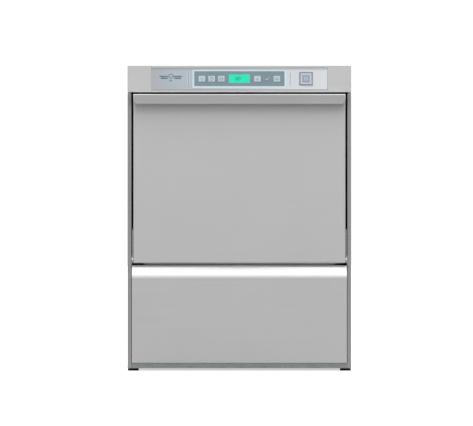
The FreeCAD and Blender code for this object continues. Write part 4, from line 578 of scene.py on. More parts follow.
BUTTON_WHITE = MouldedPlastic("white_button", "button_plastic", tint=(0.62, 0.66, 0.75, 1.0), texture=0.5)
BUTTON_BLUE = MouldedPlastic("slate_button_inlay", "button_plastic", tint=(0.36, 0.42, 0.50, 1.0),
                             texture=0.5)
FOOT_BLACK = MouldedPlastic("black_feet", "foot_plastic", tint=(0.035, 0.035, 0.038, 1.0), roughness=0.55)
SEAL_GREY = Rubber("grey_seal", "seal_rubber", tint=(0.05, 0.05, 0.055, 1.0))
HOSE_BLACK = Rubber("black_hose", "hose_rubber")
PUMP_GREY = MouldedPlastic("grey_pump_housing", "pump_plastic", tint=(0.16, 0.17, 0.18, 1.0), roughness=0.5)
MOTOR_METAL = ZincPlate("cast_motor_metal", "motor_metal", tint=(0.50, 0.51, 0.52, 1.0), roughness=0.48,
                        crystals=900.0)
DOSER_GREY = MouldedPlastic("grey_doser_parts", "doser_plastic", tint=(0.24, 0.25, 0.26, 1.0), roughness=0.4)
COPPER_WIRE = PolishedMetal("varnished_winding", "motor_metal", tint=(0.42, 0.17, 0.07, 1.0), roughness=0.34)
# Dark discs in the jets: painted shade that stands for the inside of the bores.
JET_BORE_SHADE = PolishedMetal("dark_jet_bores", "arm_steel", tint=(0.05, 0.05, 0.05, 1.0), roughness=0.5)
DOSER_WHITE = MouldedPlastic("white_doser", "doser_plastic", tint=(0.62, 0.62, 0.58, 1.0), roughness=0.38)
VALVE_BLUE = MouldedPlastic("blue_valve", "valve_plastic", tint=(0.05, 0.14, 0.42, 1.0), roughness=0.4)
NUT_BLUE = MouldedPlastic("blue_nuts", "nut_plastic", tint=(0.04, 0.16, 0.36, 1.0), roughness=0.36)
GLAND_BLACK = MouldedPlastic("black_gland", "nut_plastic", tint=(0.03, 0.03, 0.032, 1.0), roughness=0.5)
BOARD_FIBRE = FibreBoard("fibre_board", "insulation_board")
BOARD_GREEN = PrintedBoard("printed_board", "circuit_board")
CHIP_BLACK = MouldedPlastic("black_chips", "circuit_board", tint=(0.02, 0.02, 0.022, 1.0), roughness=0.5)


# ---------------------------------------------------------------- shapes
@dataclass(frozen=True)
class Extent:
    """A box in metres."""

    low: Vector
    high: Vector

    @classmethod
    def of(cls, *nodes: str) -> "Extent":
        """The box round some of the frame's nodes."""
        boxes = [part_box(node) for node in nodes]
        return cls(
            Vector([min(low[axis] for low, _ in boxes) for axis in range(3)]),
            Vector([max(high[axis] for _, high in boxes) for axis in range(3)]),
        )

    @property
    def centre(self) -> Vector:
        """The middle of the box."""
        return (self.low + self.high) / 2

    @property
    def size(self) -> Vector:
        """The box's three sides."""
        return self.high - self.low


def box_of(node: str) -> Any:
    """A dataclass field that starts as a node's box."""
    return field(default_factory=lambda: Extent.of(node))


def at(x: float | None = None, y: float | None = None, z: float | None = None) -> EdgeTest:
    """A test for the edges that lie in the planes given.

    Args:
        x: Where the edge lies along X, if that counts.
        y: Where it lies along Y.
        z: Where it lies along Z.

    Returns:
        The test, for an edge.
    """
    places = [(axis, place) for axis, place in enumerate((x, y, z)) if place is not None]

    def passes(edge: bmesh.types.BMEdge) -> bool:
        """Whether both of the edge's ends lie in every plane."""
        return all(abs(vert.co[axis] - place) < NEAR for vert in edge.verts for axis, place in places)

    return passes


def any_of(*tests: EdgeTest) -> EdgeTest:
    """A test that an edge passes if it passes any of those given."""
    return lambda edge: any(test(edge) for test in tests)


def runs_back(reach: float) -> EdgeTest:
    """A test for the edges that run from front to rear by more than a reach."""
    return lambda edge: abs(edge.verts[0].co.y - edge.verts[1].co.y) > reach


def on_rim(edge: bmesh.types.BMEdge) -> bool:
    """Whether an edge is at the rim of a sheet."""
    return edge.is_boundary


def band(radius: float, wall: float, half: float) -> list[tuple[float, float]]:
    """The outline of a flat ring about an axis, for a closed lathe."""
    outer = radius + wall
    return [(radius, -half), (outer, -half), (outer, half), (radius, half)]


def in_mm(*pairs: tuple[float, float]) -> list[tuple[float, float]]:
    """An outline given in millimetres, in metres."""
    return [(first * MM, second * MM) for first, second in pairs]


def spokes(count: int, shift: float = 0.0) -> Iterator[tuple[float, Vector]]:
    """Angles evenly round the Y axis, each with its direction."""
    for number in range(count):
        angle = 2 * math.pi * (number + shift) / count
        yield angle, Vector((math.cos(angle), 0, math.sin(angle)))


class Form:
    """A mesh in the making, shaped by bmesh operators where it belongs."""

    def __init__(self) -> None:
        """Starts an empty form."""
        self.mesh = bmesh.new()

    def bevel(self, edges: list[bmesh.types.BMEdge], radius: float, steps: int) -> "Form":
        """Rounds the edges given, with so many facets."""
        bmesh.ops.bevel(self.mesh, geom=edges, offset=radius, segments=steps, profile=0.5,
                        affect="EDGES", material=-1, clamp_overlap=True)
        return self

    def round(self, picked: EdgeTest, radius: float, steps: int = 3) -> "Form":
        """Rounds edges.

        Args:
            picked: Which edges.
            radius: How far the round reaches from each edge.
            steps: Its facets.

        Returns:
            The form itself.
        """
        return self.bevel([edge for edge in self.mesh.edges if picked(edge)], radius, steps)

    def block(self, low: Point, high: Point, edge: float = 0.0, steps: int = 2) -> "Form":
        """Adds a box.

        Args:
            low: Its lowest corner.
            high: Its highest corner.
            edge: How far its edges are rounded.
            steps: The facets of that round.

        Returns:
            The form itself.
        """
        low, high = Vector(low), Vector(high)
        made = bmesh.ops.create_cube(self.mesh, size=1.0)["verts"]
        bmesh.ops.scale(self.mesh, vec=high - low, verts=made)
        bmesh.ops.translate(self.mesh, vec=(low + high) / 2, verts=made)
        if edge:
            self.bevel(list({each for vert in made for each in vert.link_edges}), edge, steps)
        return self

    def rod(self, start: Point, end: Point, radius: float, sides: int = 32, edge: float = 0.0,
            tip: float | None = None) -> "Form":
        """Adds a cylinder, a cone or a prism.

        Args:
            start: The middle of its first end.
            end: The middle of its other end.
            radius: Its radius at the start.
            sides: Its facets.
            edge: How far the rims of its ends are rounded.
            tip: Its radius at the end, if that differs.

        Returns:
            The form itself.
        """
        start, end = Vector(start), Vector(end)
        way = end - start
        made = bmesh.ops.create_cone(
            self.mesh, cap_ends=True, segments=sides, radius1=radius,
            radius2=radius if tip is None else tip, depth=way.length)["verts"]
        turned = way.to_track_quat("Z", "Y").to_matrix().to_4x4()
        bmesh.ops.transform(self.mesh, matrix=Matrix.Translation((start + end) / 2) @ turned, verts=made)
        if edge:
            rims = {each for vert in made for each in vert.link_edges
                    if any(len(face.verts) > 4 or sides <= 4 for face in each.link_faces)}
            rims = [each for each in rims
                    if abs((each.verts[0].co - each.verts[1].co).normalized().dot(way.normalized())) < 0.5]
            self.bevel(rims, edge, 2)
        return self

    def lathe(self, outline: Sequence[tuple[float, float]], base: Point, axis: Point = (0, 0, 1),
              sides: int = 48, closed: bool = False, turn: float = 0.0) -> "Form":
        """Turns an outline about an axis.

        Args:
            outline: Points of radius and distance along the axis.
            base: Where the axis starts.
            axis: Its direction.
            sides: The facets round it.
            closed: Whether the outline's last point joins its first, as on a ring.
            turn: An angle by which the whole is turned about the axis.

        Returns:
            The form itself.
        """
        turned = bmesh.new()
        verts = [turned.verts.new((radius, 0.0, along)) for radius, along in outline]
        pairs = list(zip(verts, verts[1:]))
        if closed:
            pairs.append((verts[-1], verts[0]))
        edges = [turned.edges.new(pair) for pair in pairs]
        bmesh.ops.spin(turned, geom=verts + edges, cent=(0, 0, 0), axis=(0, 0, 1), angle=2 * math.pi,
                       steps=sides, use_merge=True, use_duplicate=False)
        bmesh.ops.remove_doubles(turned, verts=turned.verts[:], dist=0.000001)
        bmesh.ops.recalc_face_normals(turned, faces=turned.faces[:])
        way = Vector(axis).to_track_quat("Z", "Y").to_matrix().to_4x4()
        bmesh.ops.transform(turned,
                            matrix=Matrix.Translation(Vector(base)) @ way @ Matrix.Rotation(turn, 4, "Z"),
                            verts=turned.verts[:])
        self._take(turned)
        return self

    def wire(self, points: Sequence[Point], radius: float, sides: int = 3, closed: bool = False,
             smooth: bool = False, steps: int = 6) -> "Form":
        """Adds a round wire or tube along points.

        Args:
            points: The points of its middle line.
            radius: The wire's radius.
            sides: How finely it is rounded, as a curve's bevel resolution.
            closed: Whether it joins its own start.
            smooth: Whether it curves through its points.
            steps: The facets between two points of a smooth wire.

        Returns:
            The form itself.
        """
        curve = bpy.data.curves.new("wire", "CURVE")
        curve.dimensions = "3D"
        curve.bevel_depth = radius
        curve.bevel_resolution = sides
        curve.resolution_u = steps
        curve.use_fill_caps = not closed
        spline = curve.splines.new("NURBS" if smooth else "POLY")
        spline.points.add(len(points) - 1)
        for knot, place in zip(spline.points, points):
            knot.co = (*place, 1.0)
        if smooth:
            spline.order_u = 3
            spline.use_endpoint_u = True
        spline.use_cyclic_u = closed
        holder = bpy.data.objects.new("wire", curve)
        made = bpy.data.meshes.new_from_object(holder)
        swept = bmesh.new()
        swept.from_mesh(made)
        bmesh.ops.remove_doubles(swept, verts=swept.verts[:], dist=0.000001)
        bmesh.ops.recalc_face_normals(swept, faces=swept.faces[:])
        self._take(swept)
        bpy.data.objects.remove(holder)
        bpy.data.curves.remove(curve)
        bpy.data.meshes.remove(made)
        return self

    def _take(self, other: bmesh.types.BMesh) -> None:
        """Adds another mesh to this one and frees it."""
        passing = bpy.data.meshes.new("passing")
        other.to_mesh(passing)
        other.free()
        self.mesh.from_mesh(passing)
        bpy.data.meshes.remove(passing)

    def piece(self, name: str, body: str, finish: Finish, *stands_for: str, thickness: float = 0.0,
              crease: float = 40.0) -> bpy.types.Object:
        """Ends the form as a piece of the object.

        Args:
            name: The piece's name.
            body: The body that it rides on.
            finish: Its material.
            *stands_for: The frame's nodes that it replaces.
            thickness: The sheet's thickness, inwards from the form, or none for a solid.
            crease: The angle in degrees above which an edge looks sharp.

        Returns:
            The piece.
        """
        made = bpy.data.meshes.new(name)
        limit = math.radians(crease)
        for face in self.mesh.faces:
            face.smooth = True
        for edge in self.mesh.edges:
            edge.smooth = len(edge.link_faces) != 2 or edge.calc_face_angle() < limit
        self.mesh.to_mesh(made)
        self.mesh.free()
        item = bpy.data.objects.new(name, made)
        bpy.context.scene.collection.objects.link(item)
        if thickness:
            wall = item.modifiers.new("sheet", "SOLIDIFY")
            wall.thickness = thickness
            wall.offset = -1.0
            wall.use_even_offset = True
        weighted = item.modifiers.new("flat_faces", "WEIGHTED_NORMAL")
        weighted.keep_sharp = True
        made.materials.append(finish.material())
        if stands_for:
            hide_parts(*stands_for)
        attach(item, body)
        LOG.info("%s rides on %s in %s", name, body, finish.name)
        return item


class Sheet(Form):
    """Sheet metal: a flat outline whose edges are folded."""

    def __init__(self, outline: Sequence[Point], facing: Point) -> None:
        """Cuts the outline.

        Args:
            outline: Its corners in order, in one plane.
            facing: The side that is the outside.
        """
        super().__init__()
        self.facing = Vector(facing)
        self.mesh.faces.new([self.mesh.verts.new(corner) for corner in outline])

    def round_corners(self, picked: Callable[[Vector], bool], radius: float, steps: int = 6) -> "Sheet":
        """Rounds corners of the flat outline.

        Args:
            picked: Which corners, by their place.
            radius: The round's reach along each side.
            steps: Its facets.

        Returns:
            The sheet itself.
        """
        corners = [vert for vert in self.mesh.verts if picked(vert.co)]
        bmesh.ops.bevel(self.mesh, geom=corners, offset=radius, segments=steps, profile=0.5,
                        affect="VERTICES", material=-1)
        return self

    def fold(self, picked: EdgeTest, by: Point = (0, 0, 0), **to: float) -> "Sheet":
        """Folds a flange out of edges.

        Args:
            picked: Which edges.
            by: How far the flange reaches.
            **to: The place along x, y or z where the flange ends, if it ends in a plane.

        Returns:
            The sheet itself.
        """
        edges = [edge for edge in self.mesh.edges if picked(edge)]
        made = bmesh.ops.extrude_edge_only(self.mesh, edges=edges)["geom"]
        moved = [item for item in made if isinstance(item, bmesh.types.BMVert)]
        bmesh.ops.translate(self.mesh, vec=Vector(by), verts=moved)
        for axis, place in to.items():
            for vert in moved:
                setattr(vert.co, axis, place)
        return self

    def face_outwards(self) -> "Sheet":
        """Turns every face to the outside, which the first face's side tells."""
        bmesh.ops.recalc_face_normals(self.mesh, faces=self.mesh.faces[:])
        largest = max(self.mesh.faces, key=lambda face: face.calc_area())
        if largest.normal.dot(self.facing) < 0:
            bmesh.ops.reverse_faces(self.mesh, faces=self.mesh.faces[:])
        return self


def upright(left: float, right: float, y: float, foot: float, top: float) -> list[Point]:
    """The corners of a rectangle across the front, from its lower left."""
    return [(left, y, foot), (right, y, foot), (right, y, top), (left, y, top)]


class Print(Form):
    """Ink on a front face: flat strokes in a plane along X and Z."""

    def __init__(self, centre: Vector, depth: float = 0.12 * MM) -> None:
        """Starts a print.

        Args:
            centre: Its middle, on the surface that it lies on.
            depth: How far the ink stands out.
        """
        super().__init__()
        self.centre = centre
        self.depth = depth

    def stroke(self, start: Point, end: Point, width: float) -> "Print":
        """Adds a straight stroke.

        Args:
            start: Where it starts, as X and Z from the print's centre.
            end: Where it ends.
            width: Its width.

        Returns:
            The print itself.
        """
        first, last = Vector((start[0], 0, start[1])), Vector((end[0], 0, end[1]))
        way = last - first
        made = bmesh.ops.create_cube(self.mesh, size=1.0)["verts"]
        bmesh.ops.scale(self.mesh, vec=(way.length + width * 0.5, self.depth, width), verts=made)
        turn = Matrix.Rotation(-math.atan2(way.z, way.x), 4, "Y")
        middle = self.centre + (first + last) / 2 - Vector((0, self.depth / 2, 0))
        bmesh.ops.transform(self.mesh, matrix=Matrix.Translation(middle) @ turn, verts=made)
        return self

    def line(self, points: Sequence[Point], width: float) -> "Print":
        """Adds strokes from point to point."""
        for start, end in zip(points, points[1:]):
            self.stroke(start, end, width)
        return self

    def ring(self, centre: Point, radius: float, width: float, sides: int = 24) -> "Print":
        """Adds a ring.

        Args:
            centre: Its middle, as X and Z from the print's centre.
            radius: To the middle of its stroke.
            width: The stroke's width.
            sides: Its facets.

        Returns:
            The print itself.
        """
        half = width / 2
        outline = [(radius - half, 0), (radius + half, 0), (radius + half, self.depth),
                   (radius - half, self.depth)]
        self.lathe(outline, self.centre + Vector((centre[0], 0, centre[1])), (0, -1, 0), sides, closed=True)
        return self


def carry(node: str, finish: Finish) -> None:
    """Gives one of the frame's nodes its finish.

    Args:
        node: The node's name.
        finish: Its material.
    """
    item = frame["nodes"][node]
    item.data.materials.clear()
    item.data.materials.append(finish.material())
    LOG.info("%s is carried over in %s", node, finish.name)


CARRIED = {
    "rear_panel": REAR_STEEL,
    "base_frame": FRAME_ZINC,
    "door_posts": FRAME_ZINC,
    "door_inner_skin": PAN_STEEL,
    "door_insulation": BOARD_FIBRE,
    "hinge_arms": HINGE_ZINC,
    "hinge_blocks": HINGE_ZINC,
    "hinge_pins": SCREW_CHROME,
    "key_field": FIELD_BLUE,
    "electronics_box": FRAME_ZINC,
    "control_board": BOARD_GREEN,
    "wash_tank": TANK_STEEL,
    "spray_posts": ARM_STEEL,
    "riser_duct": CHAMBER_STEEL,
    "wash_pump_casing": PUMP_GREY,
    "wash_pump_rotor": MOTOR_METAL,
    "pump_hoses": HOSE_BLACK,
    "drain_pump": PUMP_GREY,
    "drain_pump_rotor": PUMP_GREY,
    "drain_hose": HOSE_BLACK,
    "boiler": CHAMBER_STEEL,
    "heating_elements": HEATER_STEEL,
    "dosing_pumps": DOSER_WHITE,
    "detergent_dosing_rotor": DOSER_GREY,
    "rinse_aid_dosing_rotor": DOSER_GREY,
}


# ---------------------------------------------------------------- casing
@dataclass
class Casing:
    """The stainless cabinet round the machine."""

    sheet: float = 1 * MM
    fold_reach: float = 10 * MM
    bend: float = 1.4 * MM
    cover_edge: float = 18 * MM
    slope_back: float = 14 * MM
    slope_rise: float = 31 * MM
    stiffener: float = 1.5 * MM
    front_stiffeners: tuple[float, float] = (60 * MM, 90 * MM)
    rear_stiffeners: tuple[float, float] = (100 * MM, 70 * MM)
    foot_pad: float = 6.8 * MM
    foot_thread: float = 1.5 * MM
    screw_head: float = 4 * MM
    fascia: Extent = box_of("control_fascia")
    door: Extent = box_of("door_outer_skin")

    def build(self) -> None:
        """Builds the sheets from the front to the rear, then what holds them."""
        self.build_fascia()
        self.build_lower_panel()
        for side, sign in SIDES.items():
            self.build_side(side, sign)
        self.build_cover()
        self.build_screws()
        self.build_feet()

    def build_fascia(self) -> None:
        """The folded fascia over the door."""
        low, high = self.fascia.low, self.fascia.high
        corners = upright(low.x, high.x, low.y, low.z, high.z)
        form = Sheet(corners, (0, -1, 0)).fold(on_rim, y=high.y).face_outwards()
        form.round(any_of(at(y=low.y), at(x=low.x, z=high.z), at(x=high.x, z=high.z)), self.bend)
        form.piece("fascia_sheet", "cabinet", FASCIA_STEEL, "control_fascia", thickness=self.sheet)

    def build_lower_panel(self) -> None:
        """The panel under the door, with its sloping top."""
        node = Extent.of("lower_front_panel")
        low, high = node.low, node.high
        knee = high.z - self.slope_rise
        form = Sheet(upright(low.x, high.x, low.y, low.z, knee), (0, -1, 0))
        form.fold(at(z=knee), by=(0, self.slope_back, self.slope_rise))
        form.fold(on_rim, y=high.y).face_outwards()
        form.round(any_of(at(y=low.y, z=knee)), 4 * self.bend, 5)
        form.round(any_of(at(y=low.y + self.slope_back, z=high.z), at(y=low.y, z=low.z)), self.bend)
        form.piece("lower_panel_sheet", "cabinet", PANEL_STEEL, "lower_front_panel", thickness=self.sheet)

    def build_side(self, side: str, sign: int) -> None:
        """A side sheet, stepped under the fascia and folded inwards at its edges.

        Args:
            side: The side's name.
            sign: -1 on the left and 1 on the right.
        """
        node = Extent.of(f"{side}_side_panel")
        outer = node.high.x if sign > 0 else node.low.x
        front, rear, foot, top = node.low.y, node.high.y, node.low.z, node.high.z
        step_z = self.door.high.z
        step_y = self.fascia.high.y + self.sheet
        corners = [(outer, front, foot), (outer, rear, foot), (outer, rear, top), (outer, step_y, top),
                   (outer, step_y, step_z), (outer, front, step_z)]
        form = Sheet(corners, (sign, 0, 0))
        folded = any_of(at(y=front), at(y=rear), at(z=top), at(z=step_z))
        form.fold(folded, x=outer - sign * self.fold_reach).face_outwards()
        form.round(any_of(at(x=outer, y=front), at(x=outer, y=rear), at(x=outer, z=top),
                          at(x=outer, z=step_z)),
                   self.bend)
        form.piece(f"{side}_side_sheet", "cabinet", SIDE_STEEL, f"{side}_side_panel", thickness=self.sheet)

    def build_cover(self) -> None:
        """The top cover, a hood whose edges hang over the side sheets, on its stiffeners."""
        node = Extent.of("top_cover")
        low, high = node.low, node.high
        edge_z = high.z - self.cover_edge
        corners = [(low.x, low.y, high.z), (high.x, low.y, high.z), (high.x, high.y, high.z),
                   (low.x, high.y, high.z)]
        form = Sheet(corners, (0, 0, 1)).fold(on_rim, z=edge_z).face_outwards()
        form.round(any_of(at(z=high.z), at(x=low.x, y=high.y), at(x=high.x, y=high.y)), self.bend)
        form.piece("top_cover_sheet", "cabinet", TOP_STEEL, "top_cover", thickness=self.sheet)
        inner = high.x - self.fold_reach - self.sheet
        under = Form()
        under.block((-inner, high.y - 3 * self.sheet, low.z),
                    (inner, high.y - 1.5 * self.sheet, high.z - self.sheet))
        starts = [low.y + place for place in self.front_stiffeners]
        starts += [high.y - place for place in self.rear_stiffeners]
        for start in starts:
            under.block((-inner, start, edge_z + self.sheet),
                        (inner, start + self.stiffener, high.z - self.sheet))
        under.piece("top_cover_stiffeners", "cabinet", FRAME_ZINC, "top_cover")

    def build_screws(self) -> None:
        """The rear panel's domed screws, each with a socket in its head and a washer."""
        panel = Extent.of("rear_panel")
        node = Extent.of("panel_screws")
        middle = (panel.low.z + panel.high.z) / 2
        head = self.screw_head
        form = Form()
        for sign in SIDES.values():
            across = sign * (node.high.x - head)
            for height in (node.low.z + head, middle, node.high.z - head):
                dome = [(0, 0.35 * MM), (0.9 * MM, 0.35 * MM), (1.1 * MM, 0.9 * MM), (2.0 * MM, 0.85 * MM),
                        (3.0 * MM, 0.6 * MM), (3.5 * MM, 0.25 * MM), (head, 0.2 * MM), (head, 0), (0, 0)]
                form.lathe(dome, (across, panel.high.y, height), (0, 1, 0), 18)
                form.rod((across, node.low.y, height), (across, panel.high.y, height), head / 2, 12)
        form.piece("rear_panel_screws", "cabinet", SCREW_CHROME, "panel_screws")

    def build_feet(self) -> None:
        """The levelling feet: a ribbed pad and a threaded stem."""
        for end in ("front", "rear"):
            for side in SIDES:
                name = f"foot_{end}_{side}"
                node = Extent.of(name)
                base = Vector((node.centre.x, node.centre.y, node.low.z))
                radius = node.size.x / 2
                pad_top = self.foot_pad
                pad = [(0, 0), (radius - 1 * MM, 0), (radius, 1 * MM)]
                for rib in range(3):
                    rise = (1.6 + rib * 1.3) * MM
                    pad += [(radius, rise), (radius - 0.5 * MM, rise + 0.3 * MM),
                            (radius - 0.5 * MM, rise + 0.8 * MM), (radius, rise + 1.1 * MM)]
                pad += [(radius - 1.4 * MM, pad_top - 0.3 * MM), (0, pad_top)]
                Form().lathe(pad, base, sides=40).piece(f"{name}_pad", name, FOOT_BLACK, name)
                stem = [(0, pad_top)]
                turns = int((node.size.z - pad_top) / self.foot_thread)
                for turn in range(turns):
                    rise = pad_top + turn * self.foot_thread
                    stem += [(4.2 * MM, rise), (4.9 * MM, rise + self.foot_thread / 2)]
                stem += [(3.6 * MM, node.size.z), (0, node.size.z)]
                Form().lathe(stem, base, sides=20).piece(f"{name}_screw", name, SCREW_CHROME, name)


# ---------------------------------------------------------------- door
@dataclass
class Door:
    """The drop-down door with its handle lip, hinges and springs."""

    sheet: float = 1 * MM
    bottom_round: float = 3 * MM
    side_bend: float = 1.2 * MM
    lip_height: float = 26.5 * MM
    lip_corner: float = 12 * MM
    lip_hem: float = 4.5 * MM
    lip_bend: float = 2.2 * MM
    wire: float = 1.5 * MM
    coil: float = 7 * MM
    coil_length: float = 86 * MM
    coil_steps: int = 14
    rivet_back: float = 11 * MM
    rivet_rises: tuple[float, float] = (29 * MM, 70.5 * MM)
    node: Extent = box_of("door_outer_skin")
    face_y: float = field(default_factory=lambda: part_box("control_fascia")[0].y)

    def build(self) -> None:
        """Builds the door's sheets, its springs and the rivets of its hinges."""
        self.build_skin()
        self.build_lip()
        self.build_springs()
        self.build_rivets()

    def build_skin(self) -> None:
        """The outer sheet, rounded along its bottom and folded back at its sides."""
        low, high = self.node.low, self.node.high
        top = high.z - self.sheet
        face = self.face_y
        form = Sheet(upright(low.x, high.x, face, low.z, top), (0, -1, 0))
        form.fold(any_of(at(z=low.z), at(x=low.x), at(x=high.x)), y=high.y).face_outwards()
        form.round(at(y=face, z=low.z), self.bottom_round, 8)

        def side_bend(edge: bmesh.types.BMEdge) -> bool:
            """Whether an edge bounds a side flange on its front or bottom."""
            if not (at(x=low.x)(edge) or at(x=high.x)(edge)) or edge.is_boundary:
                return False
            return abs(edge.verts[0].co.y - edge.verts[1].co.y) < high.y - face - 2 * self.bottom_round

        form.round(side_bend, self.side_bend)
        form.piece("door_skin", "door", FRONT_STEEL, "door_outer_skin", thickness=self.sheet)

    def build_lip(self) -> None:
        """The handle lip: a pressed front with rounded lower corners, hemmed below and folded back on top."""
        low, high = self.node.low, self.node.high
        front = low.y
        foot = high.z - self.lip_height
        form = Sheet(upright(low.x, high.x, front, foot, high.z), (0, -1, 0))
        form.round_corners(lambda place: place.z < foot + self.sheet, self.lip_corner, 8)

        def lower_chain(edge: bmesh.types.BMEdge) -> bool:
            """Whether an edge is on the lip's ends or its lower side."""
            return edge.is_boundary and not at(z=high.z)(edge)

        form.fold(at(z=high.z), y=high.y)
        form.fold(lambda edge: lower_chain(edge) and at(y=front)(edge),
                  y=front + self.lip_hem).face_outwards()
        form.round(lambda edge: at(y=front)(edge), self.lip_bend, 4)
        form.piece("door_handle_lip", "door", LIP_STEEL, "door_outer_skin", thickness=self.sheet)

    def build_springs(self) -> None:
        """The two coil springs: a hook, the turns, a straight leg and the lower eye."""
        node = Extent.of("door_springs")
        ring_z = node.high.z - self.coil - self.wire
        coil_top = ring_z - 2 * MM
        coil_bottom = coil_top - self.coil_length
        turns = int(self.coil_length / (2 * self.wire + 0.2 * MM))
        around = self.coil_steps
        for side, sign in SIDES.items():
            middle = sign * (node.high.x - self.coil - self.wire)
            back = node.centre.y
            helix = []
            for step in range(turns * around + 1):
                angle = 2 * math.pi * step / around
                helix.append((middle + self.coil * math.sin(angle), back + self.coil * math.cos(angle),
                              coil_bottom + (coil_top - coil_bottom) * step / (turns * around)))
            form = Form().wire(helix, self.wire, 1)
            for eye_z in (ring_z, node.low.z + self.coil + self.wire):
                eye = [(middle + self.coil * math.cos(2 * math.pi * step / 24), back,
                        eye_z + self.coil * math.sin(2 * math.pi * step / 24)) for step in range(24)]
                form.wire(eye, self.wire, 2, closed=True)
            leg_foot = node.low.z + 2 * self.coil + self.wire
            form.wire([(middle, back, leg_foot), (middle, back, coil_bottom - 4 * MM),
                       (middle, back + self.coil, coil_bottom)], self.wire, 2)
            item = form.piece(f"door_spring_{side}", "cabinet", SPRING_STEEL, "door_springs")
            item.parent = None
            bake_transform(item)

    def build_rivets(self) -> None:
        """The rivets that hold the hinge arms to the door's edges."""
        arms = Extent.of("hinge_arms")
        _, hinge_y, hinge_z = frame_joint("door_hinge")["pos_m"]
        bar_y = hinge_y + self.rivet_back
        form = Form()
        for sign in SIDES.values():
            face = sign * arms.high.x
            for rise in self.rivet_rises:
                head = in_mm((0, 0.7), (1.8, 0.6), (3.2, 0.25), (3.6, 0), (0, 0))
                form.lathe(head, (face, bar_y, hinge_z + rise), (sign, 0, 0), 20)
        form.piece("hinge_arm_rivets", "door", SCREW_CHROME)


def frame_joint(name: str) -> dict[str, Any]:
    """One of the frame's joints, by its name."""
    return next(joint for joint in frame["joints"] if joint["name"] == name)


# ---------------------------------------------------------------- control panel
class Symbol(Enum):
    """The picture on a key."""

    GLASS = "glass"
    CLOCK = "clock"
    RACK = "rack"
    ARROW = "arrow"
    TICK = "tick"
    WAVES = "waves"


SEGMENTS = {
    "a": ((-0.5, 1), (0.5, 1)), "b": ((0.5, 1), (0.5, 0)), "c": ((0.5, 0), (0.5, -1)),
    "d": ((-0.5, -1), (0.5, -1)),
    "e": ((-0.5, 0), (-0.5, -1)), "f": ((-0.5, 1), (-0.5, 0)), "g": ((-0.5, 0), (0.5, 0)),
}
DIGITS = {"6": "acdefg", "0": "abcdef"}

# In millimetres: how far a chip is along the board, its width, its height and its depth.
BOARD_CHIPS = (
    (30, 22, 22, 2), (70, 14, 10, 1.6), (95, 14, 10, 1.6), (130, 30, 12, 12),
    (172, 18, 26, 15), (200, 18, 26, 15), (228, 18, 26, 15), (262, 26, 14, 10),
)
# In millimetres: how far a capacitor is along the board, and its radius.
BOARD_CANS = ((112, 5), (292, 6), (308, 6))


